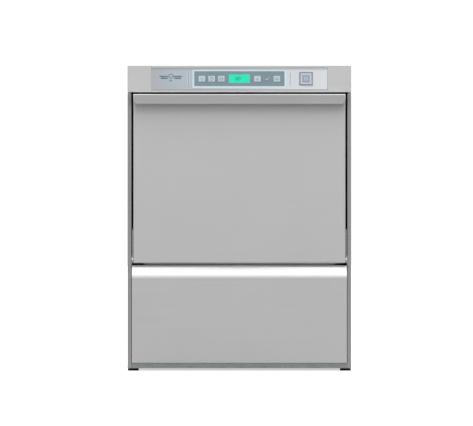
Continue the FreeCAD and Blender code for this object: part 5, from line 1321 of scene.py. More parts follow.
@dataclass
class ControlPanel:
    """The film, keys, display and start button, and the electronics behind them."""

    line: float = 0.9 * MM
    key_round: float = 2 * MM
    cap: float = 0.8 * MM
    bezel_wall: float = 1.9 * MM
    lens_round: float = 4 * MM
    start_ring: float = 5.2 * MM
    start_round: float = 3.2 * MM
    mark_place: tuple[float, float] = (53 * MM, 3 * MM)
    overlay: Extent = box_of("control_overlay")
    key_field: Extent = box_of("key_field")
    symbols: dict[str, Symbol] = field(default_factory=lambda: {
        "key_left_3": Symbol.GLASS, "key_left_2": Symbol.CLOCK, "key_left_1": Symbol.RACK,
        "key_right_1": Symbol.ARROW, "key_right_2": Symbol.TICK, "key_right_3": Symbol.WAVES})

    def build(self) -> None:
        """Builds the panel from the film outwards."""
        carry("control_overlay", PrintedFilm(
            "printed_panel_film", "overlay_film", low=tuple(self.overlay.low), high=tuple(self.overlay.high),
            field_low=tuple(self.key_field.low), field_high=tuple(self.key_field.high)))
        self.build_mark()
        for name, symbol in self.symbols.items():
            self.build_key(name, symbol)
        self.build_display()
        self.build_start_button()
        self.build_board()

    def build_mark(self) -> None:
        """A generic mark on the film: a stemmed glass between two pairs of ripples."""
        front = self.overlay.low.y
        inset, rise = self.mark_place
        centre = Vector((self.overlay.low.x + inset, front, self.overlay.centre.z + rise))
        glass = Print(centre)
        half, rim, bowl, foot = 5 * MM, 9 * MM, -1 * MM, -9 * MM
        glass.line([(-half, rim), (-half * 0.85, bowl + 3 * MM), (-half * 0.3, bowl), (half * 0.3, bowl),
                    (half * 0.85, bowl + 3 * MM), (half, rim)], self.line)
        glass.line([(-half, rim), (half, rim)], self.line)
        glass.stroke((0, bowl), (0, foot), 1.2 * self.line)
        glass.stroke((-half * 0.8, foot), (half * 0.8, foot), 1.4 * self.line)
        glass.piece("panel_glass_mark", "cabinet", INK_DARK)
        ripples = Print(centre)
        for sign in SIDES.values():
            for row, rise in enumerate((3.2 * MM, -1.6 * MM)):
                self.ripple(ripples, sign * 18 * MM, rise, (24 - 6 * row) * MM, 2.2 * MM)
        ripples.piece("panel_ripple_mark", "cabinet", INK_TEAL)

    def ripple(self, ink: Print, middle: float, rise: float, length: float, width: float) -> None:
        """Draws a shallow wave.

        Args:
            ink: The print that takes it.
            middle: Its middle along X, from the print's centre.
            rise: Its height from the print's centre.
            length: Its length.
            width: The stroke's width.
        """
        steps = 16
        wave = [(middle + length * (step / steps - 0.5), rise + 0.8 * MM * math.sin(2 * math.pi * step / 8))
                for step in range(steps + 1)]
        ink.line(wave, width)

    def build_key(self, name: str, symbol: Symbol) -> None:
        """A key's cap with its rounded rim, its stem and its picture.

        Args:
            name: The key's node and body.
            symbol: Its picture.
        """
        node = Extent.of(name)
        low, high = node.low, node.high
        cap = Form().block(low, (high.x, low.y + self.cap, high.z))
        cap.round(runs_back(self.cap / 2), self.key_round, 5)
        cap.round(at(y=low.y), 0.25 * MM, 3)
        centre = node.centre
        cap.rod((centre.x, low.y + self.cap, centre.z), (centre.x, high.y, centre.z), 2.5 * MM, 20, 0.2 * MM)
        plain = symbol is Symbol.TICK
        cap.piece(f"{name}_cap", name, KEY_BLUE if plain else KEY_WHITE, name)
        ink = Print(Vector((centre.x, low.y, centre.z)))
        self.draw(ink, symbol)
        ink.piece(f"{name}_{symbol.value}", name, INK_PALE if plain else INK_GREY)

    def draw(self, ink: Print, symbol: Symbol) -> None:
        """Draws a key's picture.

        Args:
            ink: The print that takes it.
            symbol: Which picture.
        """
        line = self.line
        if symbol is Symbol.GLASS:
            ink.line(in_mm((-3.5, 4.5), (-2.4, -4), (2.4, -4), (3.5, 4.5)), line)
            ink.stroke((-3 * MM, 1.2 * MM), (3 * MM, 1.2 * MM), line)
        elif symbol is Symbol.CLOCK:
            ink.ring((0, 0), 4.4 * MM, line)
            ink.line(in_mm((0, 3), (0, 0), (2.4, -1.2)), line)
        elif symbol is Symbol.RACK:
            ink.line(in_mm((-5, 2), (-5, -3.6), (5, -3.6), (5, 2)), line)
            for place in (-2.4 * MM, 0.0, 2.4 * MM):
                ink.stroke((place, -2 * MM), (place, 4 * MM), line)
        elif symbol is Symbol.ARROW:
            ink.stroke((0, 4 * MM), (0, -3 * MM), line)
            ink.line(in_mm((-3, -0.6), (0, -4), (3, -0.6)), line)
        elif symbol is Symbol.TICK:
            ink.line(in_mm((-4, -0.4), (-1.2, -3.6), (4.6, 4)), 1.5 * line)
        else:
            for rise in (2 * MM, -2 * MM):
                self.ripple(ink, 0.0, rise, 11 * MM, line)

    def build_display(self) -> None:
        """The display's window with a rounded rim, and a temperature behind it."""
        node = Extent.of("display_window")
        window = Form().block(node.low, node.high)
        window.round(runs_back(self.line), self.lens_round, 6)
        window.round(at(y=node.low.y), 0.35 * MM, 2)
        window.piece("display_lens", "cabinet", DISPLAY_GREEN, "display_window")
        digits = Print(Vector((node.centre.x, node.low.y, node.centre.z)), 0.08 * MM)
        tall, wide = 3.4 * MM, 4.0 * MM
        for place, digit in zip((-6.5 * MM, 0.0), "60"):
            for segment in DIGITS[digit]:
                ends = [(place + across * wide, up * tall) for across, up in SEGMENTS[segment]]
                digits.stroke(ends[0], ends[1], 0.9 * MM)
        digits.ring((5.2 * MM, 2.4 * MM), 1.1 * MM, 0.5 * MM, 16)
        digits.piece("display_digits", "cabinet", DIGIT_GREEN)

    def build_start_button(self) -> None:
        """The start button in its bezel: a pale cap with a slate inlay that carries a pale symbol."""
        frame_node = Extent.of("start_button_bezel")
        low, high = frame_node.low, frame_node.high
        centre = frame_node.centre
        half = frame_node.size.x / 2
        inner = half - self.bezel_wall
        corner = math.sqrt(2)
        outline = [(inner * corner, 0), (half * corner, 0), (half * corner, high.y - low.y - 0.3 * MM),
                   ((half - 0.3 * MM) * corner, high.y - low.y),
                   ((inner + 0.5 * MM) * corner, high.y - low.y),
                   (inner * corner, high.y - low.y - 0.6 * MM)]
        bezel = Form().lathe(outline, (centre.x, high.y, centre.z), (0, -1, 0), 4, closed=True,
                             turn=math.pi / 4)

        def upright_corner(edge: bmesh.types.BMEdge) -> bool:
            """Whether an edge runs back along one of the bezel's outer corners."""
            ends = [vert.co - centre for vert in edge.verts]
            return all(abs(abs(end.x) - abs(end.z)) < 0.01 * MM and abs(end.x) > half - 0.5 * MM
                       for end in ends)

        bezel.round(upright_corner, self.start_round, 5)
        bezel.piece("start_bezel", "cabinet", BEZEL_BLUE, "start_button_bezel")
        node = Extent.of("start_button")
        reach = min(node.size.x / 2, inner - 0.3 * MM)
        front = node.low.y
        cap = Form().block((centre.x - reach, front, centre.z - reach), (centre.x + reach, front + 6 * MM,
                                                                        centre.z + reach), 0.5 * MM, 3)
        cap.rod((centre.x, front + 5.5 * MM, centre.z), (centre.x, node.high.y, centre.z), 4.5 * MM, 24,
                0.3 * MM)
        cap.piece("start_cap", "start_button", BUTTON_WHITE, "start_button")
        ring = reach - self.start_ring
        inlay = Form().block((centre.x - ring, front - 0.25 * MM, centre.z - ring),
                             (centre.x + ring, front + 0.5 * MM, centre.z + ring), 0.2 * MM, 2)
        inlay.piece("start_inlay", "start_button", BUTTON_BLUE)
        symbol = Print(Vector((centre.x, front - 0.25 * MM, centre.z)))
        symbol.line(in_mm((-4.5, 4), (4.5, 4), (4.5, -4), (-4.5, -4), (-4.5, 4)), 0.9 * MM)
        symbol.stroke((-2.6 * MM, 1.2 * MM), (2.6 * MM, 1.2 * MM), 0.9 * MM)
        symbol.stroke((-2.6 * MM, -1.2 * MM), (2.6 * MM, -1.2 * MM), 0.9 * MM)
        symbol.piece("start_symbol", "start_button", INK_PALE)

    def build_board(self) -> None:
        """The control board's chips, relays, capacitors and plugs, on its rear face."""
        node = Extent.of("control_board")
        back = node.high.y
        low_x, middle = node.low.x, node.centre.z
        chips = Form()
        for place, wide, tall, deep in BOARD_CHIPS:
            left = low_x + place * MM
            chips.block((left, back, middle - tall * MM / 2), (left + wide * MM, back + deep * MM,
                                                               middle + tall * MM / 2), 0.4 * MM, 1)
        chips.piece("control_board_chips", "cabinet", CHIP_BLACK)
        cans = Form()
        for place, radius in BOARD_CANS:
            foot = (low_x + place * MM, back, middle + 16 * MM)
            cans.lathe([(0, 0), (radius * MM, 0), (radius * MM, 10 * MM), (radius * 0.85 * MM, 11 * MM),
                        (0, 11 * MM)],
                       foot, (0, 1, 0), 20)
        cans.piece("control_board_capacitors", "cabinet", SCREW_CHROME)


# ---------------------------------------------------------------- wash chamber
def circle(centre: Point, radius: float, count: int, start: float = 0.0,
           sweep: float = 2 * math.pi) -> list[Point]:
    """Points of an arc in a plane along X and Y.

    Args:
        centre: Its middle.
        radius: Its radius.
        count: How many points.
        start: The first point's angle.
        sweep: The angle that the arc covers.

    Returns:
        The points, without the last of a full circle.
    """
    steps = count if abs(sweep) >= 2 * math.pi else count - 1
    return [(centre[0] + radius * math.cos(start + sweep * step / steps),
             centre[1] + radius * math.sin(start + sweep * step / steps), centre[2]) for step in range(count)]


class Plate(Sheet):
    """A flat plate with holes."""

    def __init__(self, outline: Sequence[Point], holes: Iterable[Sequence[Point]], facing: Point) -> None:
        """Cuts the plate.

        Args:
            outline: Its corners in order, in one plane.
            holes: The corners of each hole.
            facing: The side that is the outside.
        """
        Form.__init__(self)
        self.facing = Vector(facing)
        for loop in (outline, *holes):
            verts = [self.mesh.verts.new(place) for place in loop]
            for pair in zip(verts, verts[1:] + verts[:1]):
                self.mesh.edges.new(pair)
        bmesh.ops.triangle_fill(self.mesh, use_beauty=True, use_dissolve=False, edges=self.mesh.edges[:],
                                normal=self.facing)
        self.face_outwards()


@dataclass
class WashChamber:
    """The coved chamber over its tank, with the seal, rails, strainers and basket."""

    sheet: float = 1.2 * MM
    cove: float = 18 * MM
    mouth_round: float = 12 * MM
    shoulder: float = 26 * MM
    post_stub: float = 10 * MM
    tank_half: float = 224 * MM
    slot_width: float = 3 * MM
    slot_length: float = 24 * MM
    slot_pitch: tuple[float, float] = (8.5 * MM, 32 * MM)
    plate_margin: float = 13 * MM
    basket_wall: float = 1 * MM
    basket_flange: float = 9 * MM
    handle_wire: float = 1.5 * MM
    post_notch: float = 24 * MM
    rail_shelf: float = 22 * MM
    rail_lip: float = 7 * MM
    tank_ledge: float = 8 * MM
    seat_drop: float = 3 * MM
    post_clear: float = 5 * MM
    basket_clear: float = 4 * MM
    basket_gap: float = 1.5 * MM
    node: Extent = box_of("wash_chamber")
    rails: Extent = box_of("rack_rails")
    plates: Extent = box_of("tank_strainers")
    basket: Extent = box_of("strainer_basket")
    posts: Extent = box_of("spray_posts")

    @property
    def half(self) -> float:
        """Half the chamber's width, to which the rails reach."""
        return self.rails.high.x

    @property
    def floor(self) -> float:
        """The height of the chamber's floor, on which the strainers lie."""
        return self.plates.low.z

    @property
    def roof(self) -> float:
        """The height of the chamber's ceiling, through which the posts pass."""
        return self.posts.high.z - self.post_stub - self.sheet

    def build(self) -> None:
        """Builds the chamber's shell and front, then what it holds."""
        self.build_shell()
        self.build_front()
        self.build_gasket()
        for side, sign in SIDES.items():
            self.build_rail(side, sign)
            self.build_strainer(side, sign)
        self.build_basket()

    def build_shell(self) -> None:
        """The chamber's walls, coved where they meet, with the way down to the tank in its floor."""
        front = self.node.low.y + self.sheet
        rear = self.node.high.y - self.sheet
        form = Form().block((-self.half, front, self.floor), (self.half, rear, self.roof))
        mouth = [face for face in form.mesh.faces if at(y=front)(face)]
        bmesh.ops.delete(form.mesh, geom=mouth, context="FACES")
        form.round(lambda edge: not edge.is_boundary, self.cove, 7)
        floor = max((face for face in form.mesh.faces if at(z=self.floor)(face)),
                    key=lambda face: face.calc_area())
        ledge = self.half - self.cove - self.tank_half
        bmesh.ops.inset_region(form.mesh, faces=[floor], thickness=abs(ledge), use_even_offset=True,
                               use_boundary=True)
        for vert in floor.verts:
            if vert.co.y < 0:
                vert.co.y = self.plates.low.y + self.tank_ledge
        bmesh.ops.delete(form.mesh, geom=[floor], context="FACES")
        bmesh.ops.reverse_faces(form.mesh, faces=form.mesh.faces[:])
        form.piece("chamber_shell", "cabinet", CHAMBER_STEEL, "wash_chamber", thickness=self.sheet)

    def build_front(self) -> None:
        """The chamber's front: a flange round the mouth, over the threshold."""
        y = self.node.low.y
        wide, top = self.node.high.x, self.node.high.z
        seat = self.rails.low.z - self.seat_drop
        sill = seat + self.shoulder
        narrow = self.half - self.cove
        right = [(narrow, y, self.floor), (self.half, y, self.floor + self.cove), (self.half, y, seat),
                 (wide, y, seat), (wide, y, top)]
        left = [(-x, y, z) for x, y, z in reversed(right)]

        def corner(sign: int, height: float, radius: float, start: float) -> list[Point]:
            """The points of one of the mouth's rounded corners."""
            middle = (sign * (self.half - radius), height)
            return [(x, y, z) for x, z, _ in circle((*middle, 0.0), radius, 9, start, math.pi / 2)]

        mouth = (corner(1, sill + self.mouth_round, self.mouth_round, -math.pi / 2)
                 + corner(1, self.roof - self.cove, self.cove, 0.0)
                 + corner(-1, self.roof - self.cove, self.cove, math.pi / 2)
                 + corner(-1, sill + self.mouth_round, self.mouth_round, math.pi))
        form = Plate(right + left, [mouth], (0, -1, 0))
        form.piece("chamber_front_flange", "cabinet", CHAMBER_STEEL, "wash_chamber", thickness=self.sheet)

    def build_gasket(self) -> None:
        """The door's seal: two soft lobes side by side, up one side, across and down the other."""
        node = Extent.of("door_gasket")
        lobe = node.size.y / 2
        form = Form()
        for inset, bend in ((lobe, 14 * MM), (2 * lobe + 1.5 * MM, 9.7 * MM)):
            across, top = node.high.x - inset, node.high.z - inset
            right = [(across, node.centre.y, node.low.z)]
            right += [(x, node.centre.y, z) for x, z, _ in
                      circle((across - bend, top - bend, 0.0), bend, 8, 0.0, math.pi / 2)]
            left = [(-x, y, z) for x, y, z in reversed(right)]
            form.wire(right + left, lobe, 4)
        form.piece("door_seal_lobes", "cabinet", SEAL_GREY, "door_gasket")

    def build_rail(self, side: str, sign: int) -> None:
        """A rail: a web on the wall, a shelf and a folded lip.

        Args:
            side: The side's name.
            sign: -1 on the left and 1 on the right.
        """
        low, high = self.rails.low, self.rails.high
        wall = sign * (self.half - self.sheet)
        shelf_z = high.z - self.sheet
        lip_x = sign * (max(abs(value) for value in (low.x, high.x)) - self.rail_shelf + self.sheet)
        corners = [(wall, low.y, low.z), (wall, high.y, low.z), (wall, high.y, shelf_z),
                   (wall, low.y, shelf_z)]
        form = Sheet(corners, (-sign, 0, 0))
        form.fold(at(z=shelf_z), x=lip_x)
        form.fold(at(x=lip_x, z=shelf_z), z=shelf_z - self.rail_lip)
        form.face_outwards()
        form.round(any_of(at(x=wall, z=shelf_z), at(x=lip_x, z=shelf_z)), 2 * MM, 4)
        form.piece(f"rack_rail_{side}", "cabinet", RACK_STEEL, "rack_rails", thickness=self.sheet)

    def build_strainer(self, side: str, sign: int) -> None:
        """A strainer plate: rows of fine slots, a notch for the post and, on the left, the basket's hole.

        Args:
            side: The side's name.
            sign: -1 on the left and 1 on the right.
        """
        low, high = self.plates.low, self.plates.high
        z = high.z
        middle = self.posts.centre
        notch = self.post_notch
        seam = 0.5 * MM
        tilt = math.acos(seam / notch)
        arc = [(sign * x, y, z) for x, y, _ in circle((0.0, middle.y, z), notch, 15, tilt, -2 * tilt)]
        outer = sign * high.x
        outline = [(sign * seam, low.y, z), (outer, low.y, z), (outer, high.y, z), (sign * seam, high.y, z),
                   *arc]
        hub = self.basket.centre
        basket_reach = self.basket.size.x / 2
        holes = []
        if sign < 0:
            holes.append(circle((hub.x, hub.y, z), basket_reach - self.basket_flange + self.basket_gap, 36))
        wide, long = self.slot_pitch
        columns = int((high.x - 2 * self.plate_margin) / wide)
        rows = int((high.y - low.y - 2 * self.plate_margin) / long)
        first_y = (low.y + high.y) / 2 - (rows - 1) * long / 2
        for column in range(columns):
            x = sign * (self.plate_margin + (column + 0.5) * wide)
            for row in range(rows):
                y = first_y + row * long
                from_post = max(abs(y - middle.y) - self.slot_length / 2, 0.0)
                at_post = math.hypot(x, from_post) < notch + self.post_clear
                gap_y = max(abs(y - hub.y) - self.slot_length / 2, 0.0)
                at_basket = sign < 0 and math.hypot(x - hub.x, gap_y) < basket_reach + self.basket_clear
                if not at_post and not at_basket:
                    holes.append(self.slot(x, y, z))
        form = Plate(outline, holes, (0, 0, 1))
        form.piece(f"tank_strainer_{side}", "cabinet", RACK_STEEL, "tank_strainers", thickness=self.sheet)

    def slot(self, x: float, y: float, z: float) -> list[Point]:
        """The outline of a slot with round ends about a place."""
        end = self.slot_width / 2
        run = self.slot_length / 2 - end
        return (circle((x, y + run, z), end, 4, 0.0, math.pi)
                + circle((x, y - run, z), end, 4, math.pi, math.pi))

    def build_basket(self) -> None:
        """The lift-out basket: a perforated drum under a rolled rim, with a bail handle."""
        low, hub = self.basket.low, self.basket.centre
        rim = self.basket.size.x / 2
        drum = rim - self.basket_flange
        top = self.plates.high.z + self.sheet
        tall = top - low.z
        bands = 9
        outline = [(6 * MM, 0), (15 * MM, 0), (24 * MM, 0), (33 * MM, 0), (drum - 3 * MM, 0), (drum, 3 * MM)]
        outline += [(drum, 5 * MM + (tall - 11 * MM) * band / bands) for band in range(bands + 1)]
        outline += [(drum, tall - 3 * MM), (drum + 0.8 * MM, tall - 0.6 * MM), (drum + 2 * MM, tall),
                    (rim, tall)]
        form = Form().lathe(outline, (hub.x, hub.y, low.z), sides=40)

        def perforated(face: bmesh.types.BMFace) -> bool:
            """Whether a face is in the drum's bands or its flat bottom."""
            place = face.calc_center_median()
            reach = math.hypot(place.x - hub.x, place.y - hub.y)
            in_bands = 5 * MM < place.z - low.z < tall - 6 * MM
            return in_bands or (place.z - low.z < 0.5 * MM and reach < drum - 3 * MM)

        faces = [face for face in form.mesh.faces if perforated(face)]
        bmesh.ops.inset_individual(form.mesh, faces=faces, thickness=0.9 * MM, use_even_offset=True)
        bmesh.ops.delete(form.mesh, geom=faces, context="FACES")
        form.piece("basket_drum", "basket", RACK_STEEL, "strainer_basket", thickness=self.basket_wall,
                   crease=60)
        wire = self.handle_wire
        foot = drum - self.sheet - wire
        peak = self.basket.high.z - wire
        arch = [(hub.x - foot, hub.y, top - 14 * MM), (hub.x - foot, hub.y, top + 2 * MM),
                (hub.x - 0.93 * foot, hub.y, peak), (hub.x - 0.55 * foot, hub.y, peak),
                (hub.x + 0.55 * foot, hub.y, peak), (hub.x + 0.93 * foot, hub.y, peak),
                (hub.x + foot, hub.y, top + 2 * MM), (hub.x + foot, hub.y, top - 14 * MM)]
        handle = Form().wire(arch, wire, 4, smooth=True, steps=8)
        handle.wire(circle((hub.x, hub.y, top + 0.4 * MM), rim - 0.6 * MM, 48), 0.9 * MM, 2, closed=True)
        handle.piece("basket_handle", "basket", ARM_STEEL, "strainer_basket")


# ---------------------------------------------------------------- spray system
@dataclass(frozen=True)
class ArmShape:
    """The sizes of one kind of spray arm."""

    wing: float
    fall: float
    hub: float
    hub_half: float
    tip_half: float
    jet: float


@dataclass
class SpraySystem:
    """The four arms on their posts, with the pipe that feeds the upper pair."""

    bore: float = 12.5 * MM
    jets: int = 5
    first_jet: float = 22 * MM
    last_gap: float = 18 * MM
    wash: ArmShape = ArmShape(14 * MM, 4 * MM, 20 * MM, 17 * MM, 11 * MM, 2.5 * MM)
    rinse: ArmShape = ArmShape(8 * MM, 0.0, 18 * MM, 10 * MM, 7 * MM, 1.2 * MM)
    nut: float = 8 * MM
    clip_shares: tuple[float, float] = (0.35, 0.8)

    def build(self) -> None:
        """Builds the arms from the bottom upwards, then the nuts and the riser."""
        for level, facing in (("lower", 1), ("upper", -1)):
            self.build_arm(f"{level}_wash_arm", self.wash, facing)
            self.build_arm(f"{level}_rinse_arm", self.rinse, facing)
        self.build_nuts()
        self.build_riser_clips()

    def build_arm(self, name: str, shape: ArmShape, facing: int) -> None:
        """An arm: a formed tube that tapers to its closed tips, a turned hub and raised jets.

        Args:
            name: The arm's node and body.
            shape: Its sizes.
            facing: 1 where it sprays upwards and -1 where it sprays downwards.
        """
        node = Extent.of(name)
        centre = node.centre
        back = node.low.z if facing > 0 else node.high.z
        reach = node.high.x
        low = back + facing * shape.fall
        outline = [(-reach, -shape.tip_half), (0, -shape.hub_half), (reach, -shape.tip_half),
                   (reach, shape.tip_half), (0, shape.hub_half), (-reach, shape.tip_half)]
        form = Sheet([(x, centre.y + y, low) for x, y in outline], (0, 0, -facing))
        made = bmesh.ops.extrude_face_region(form.mesh, geom=form.mesh.faces[:])["geom"]
        raised = [item for item in made if isinstance(item, bmesh.types.BMVert)]
        bmesh.ops.translate(form.mesh, vec=(0, 0, facing * shape.wing), verts=raised)
        bmesh.ops.recalc_face_normals(form.mesh, faces=form.mesh.faces[:])
        form.round(any_of(at(x=reach, z=low), at(x=-reach, z=low), at(z=low),
                          at(z=low + facing * shape.wing)),
                   shape.wing * 0.3, 4)
        tall = node.size.z
        hub = [(self.bore, 0), (shape.hub - 1 * MM, 0), (shape.hub, 1 * MM), (shape.hub, tall - 1.5 * MM),
               (shape.hub - 1.5 * MM, tall), (self.bore + 1 * MM, tall), (self.bore, tall - 1 * MM)]
        form.lathe(hub, (centre.x, centre.y, back), (0, 0, facing), 40, closed=True)
        form.piece(f"{name}_tube", name, ARM_STEEL, name)
        face = low + facing * shape.wing
        span = reach - shape.hub - self.first_jet - self.last_gap
        rims, holes = Form(), Form()
        for step in range(self.jets):
            distance = shape.hub + self.first_jet + step * span / (self.jets - 1)
            for sign in SIDES.values():
                foot = (sign * distance, centre.y, face)
                rim = [(shape.jet, 0), (shape.jet + 1.6 * MM, 0), (shape.jet + 1.1 * MM, 0.5 * MM),
                       (shape.jet + 0.3 * MM, 0.8 * MM), (shape.jet, 0.6 * MM)]
                rims.lathe(rim, foot, (0, 0, facing), 18, closed=True)
                # A thin dark disc in each jet is painted shade for the inside of its bore.
                bottom = Vector(foot) + Vector((0, 0, facing * 0.15 * MM))
                holes.rod(foot, bottom, shape.jet + 0.1 * MM, 18)
        rims.piece(f"{name}_jets", name, ARM_STEEL, name)
        holes.piece(f"{name}_jet_bores", name, JET_BORE_SHADE, name)

    def build_nuts(self) -> None:
        """The nuts that keep the arms on: six flats and a collar."""
        node = Extent.of("arm_nuts")
        radius = node.size.x / 2
        nut = self.nut
        form = Form()
        for foot, facing in ((node.low.z, 1), (node.high.z, -1)):
            end = foot + facing * nut
            form.rod((0, node.centre.y, foot), (0, node.centre.y, end), radius, 6, 0.8 * MM)
            dome = [(self.bore - 3 * MM, nut), (radius * 0.84, nut), (radius * 0.8, nut + 1.2 * MM),
                    (self.bore - 1 * MM, nut + 2 * MM), (self.bore - 3 * MM, nut + 1.6 * MM)]
            form.lathe(dome, (0, node.centre.y, foot), (0, 0, facing), 36, closed=True)
        form.piece("arm_hand_nuts", "cabinet", NUT_BLUE, "arm_nuts")

    def build_riser_clips(self) -> None:
        """Two clips that hold the riser behind the chamber."""
        node = Extent.of("riser_duct")
        radius = node.size.x / 2
        back = Vector((node.centre.x, node.high.y - radius - 2.7 * MM, 0))
        form = Form()
        for share in self.clip_shares:
            height = node.low.z + node.size.z * share
            form.lathe(band(radius, 1 * MM, 6 * MM), (back.x, back.y, height), (0, 0, 1), 32, closed=True)
        form.piece("riser_clips", "cabinet", FRAME_ZINC)


# ---------------------------------------------------------------- machinery
@dataclass
class Machinery:
    """The pumps, boiler, dosing pumps, valve and connections under the chamber."""

    fins: int = 28
    fin: float = 1.4 * MM
    clamp_width: float = 9 * MM
    clamp_wall: float = 0.8 * MM
    wash_hose: float = 22 * MM
    drain_outlet: float = 15 * MM
    drain_hose: float = 11 * MM
    motor_bell: float = 32 * MM
    strap_inset: float = 50 * MM
    thermostats: tuple[float, float] = (130 * MM, 220 * MM)
    valve_pitch: float = 1.8 * MM
    motor_foot: tuple[float, float] = (50 * MM, 100 * MM)
    foot_half: float = 35 * MM
    foot_web: float = 24 * MM
    capacitor: tuple[float, float, float] = (16 * MM, 45 * MM, 20 * MM)
    cover_back: float = 50 * MM
    cover_bolts: int = 8
    flange_bolts: int = 6
    bolt_circle: float = 39 * MM
    doser_drop: float = 27 * MM
    doser_corner: float = 22.5 * MM
    drain_middle: float = 32 * MM
    core_reach: float = 24 * MM
    core_base: float = 12 * MM
    core_pitch: float = 2.2 * MM
    core_layers: int = 10
    gland_ribs: int = 12

    def build(self) -> None:
        """Dresses each machine and adds what is fixed to it."""
        self.build_motor()
        self.build_casing_bolts()
        self.build_clamps()
        self.build_boiler_fittings()
        self.build_doser_fittings()
        self.build_drain_coil()
        self.build_valve()
        self.build_gland()

    def build_motor(self) -> None:
        """The motor: two end bells, cooling fins, a foot and its capacitor."""
        node = Extent.of("wash_pump_motor")
        radius = node.size.x / 2
        axis = Vector((node.centre.x, node.low.y, node.high.z - radius))
        long = node.size.y
        bell = self.motor_bell
        body = [(0, 0), (radius * 0.72, 0), (radius - 3 * MM, 6 * MM), (radius, 12 * MM), (radius, bell),
                (radius - 5 * MM, bell + 1 * MM), (radius - 5 * MM, long - bell - 1 * MM),
                (radius, long - bell),
                (radius, long - 2 * MM), (radius - 2 * MM, long), (0, long)]
        form = Form().lathe(body, axis, (0, 1, 0), 48)
        for angle, way in spokes(self.fins):
            foot = axis + way * (radius - 6 * MM) + Vector((0, bell, 0))
            fin = bmesh.ops.create_cube(form.mesh, size=1.0)["verts"]
            bmesh.ops.scale(form.mesh, vec=(6 * MM, long - 2 * bell, self.fin), verts=fin)
            turn = Matrix.Rotation(-angle, 4, "Y")
            middle = foot + way * 3 * MM + Vector((0, long / 2 - bell, 0))
            bmesh.ops.transform(form.mesh, matrix=Matrix.Translation(middle) @ turn, verts=fin)
        form.piece("wash_motor_housing", "cabinet", MOTOR_METAL, "wash_pump_motor")
        start, end = (node.low.y + place for place in self.motor_foot)
        feet = Form().block((axis.x - self.foot_half, start, node.low.z),
                            (axis.x + self.foot_half, end, node.low.z + 5 * MM), 1 * MM)
        for sign in SIDES.values():
            web = axis.x + sign * self.foot_web
            feet.block((web - 4 * MM, start + 2 * MM, node.low.z + 4 * MM),
                       (web + 4 * MM, end - 2 * MM, axis.z - radius * 0.75), 1 * MM)
        feet.piece("wash_motor_foot", "cabinet", FRAME_ZINC, "wash_pump_motor")
        aside, back, up = self.capacitor
        can = Vector((axis.x - radius - aside, axis.y + back, axis.z + up))
        shell = in_mm((0, 0), (14, 0), (15, 1), (15, 66), (13, 68), (4, 68), (3, 72), (0, 72))
        Form().lathe(shell, can, (0, 1, 0), 32).piece("motor_capacitor", "cabinet", MOTOR_METAL)

    def build_casing_bolts(self) -> None:
        """A ring of bolts round the wash pump's cover, and its cast ribs."""
        node = Extent.of("wash_pump_casing")
        radius = node.size.x / 2
        axis = Vector((node.centre.x, node.low.y + self.cover_back, node.centre.z))
        bolts, ribs = Form(), Form()
        for _, way in spokes(self.cover_bolts, 0.5):
            foot = axis + way * (radius - 6 * MM)
            bolts.rod(foot, foot + Y_AXIS * 3 * MM, 3.2 * MM, 6, 0.3 * MM)
            inner = axis + way * (radius * 0.45)
            ribs.rod(inner, axis + way * (radius - 11 * MM), 1.8 * MM, 10, tip=1.2 * MM)
        bolts.piece("pump_cover_bolts", "cabinet", SCREW_CHROME)
        ribs.piece("pump_cover_ribs", "cabinet", PUMP_GREY)

    def clamp(self, form: Form, place: Point, axis: Vector, radius: float) -> None:
        """Adds a worm-drive clamp to a form.

        Args:
            form: The form that takes it.
            place: Its middle.
            axis: The hose's direction there.
            radius: The hose's outer radius.
        """
        form.lathe(band(radius, self.clamp_wall, self.clamp_width / 2), place, axis, 36, closed=True)
        aside = axis.orthogonal().normalized()
        housing = Vector(place) + aside * (radius + self.clamp_wall + 2.5 * MM)
        across = axis.cross(aside)
        form.rod(housing - across * 7 * MM, housing + across * 7 * MM, 3.4 * MM, 12, 0.4 * MM)
        form.rod(housing + across * 7 * MM, housing + across * 9.5 * MM, 2.8 * MM, 6, 0.3 * MM)

    def build_clamps(self) -> None:
        """A clamp at each end of a hose."""
        casing = Extent.of("wash_pump_casing")
        drain = Extent.of("drain_hose")
        tank = Extent.of("wash_tank")
        hoses = Extent.of("pump_hoses")
        across = casing.centre.x
        form = Form()
        suction_y = casing.high.y + 28 * MM
        self.clamp(form, (across, casing.high.y + 6 * MM, casing.centre.z), Y_AXIS, self.wash_hose)
        self.clamp(form, (across, suction_y, tank.low.z - 8 * MM), Z_AXIS, self.wash_hose)
        self.clamp(form, (32 * MM, casing.low.y + 25 * MM, hoses.low.z + 17 * MM), X_AXIS, self.drain_outlet)
        self.clamp(form, (drain.centre.x, drain.low.y + 7 * MM, drain.high.z - self.drain_hose), Y_AXIS,
                   self.drain_hose)
        form.piece("hose_clamps", "cabinet", SCREW_CHROME)

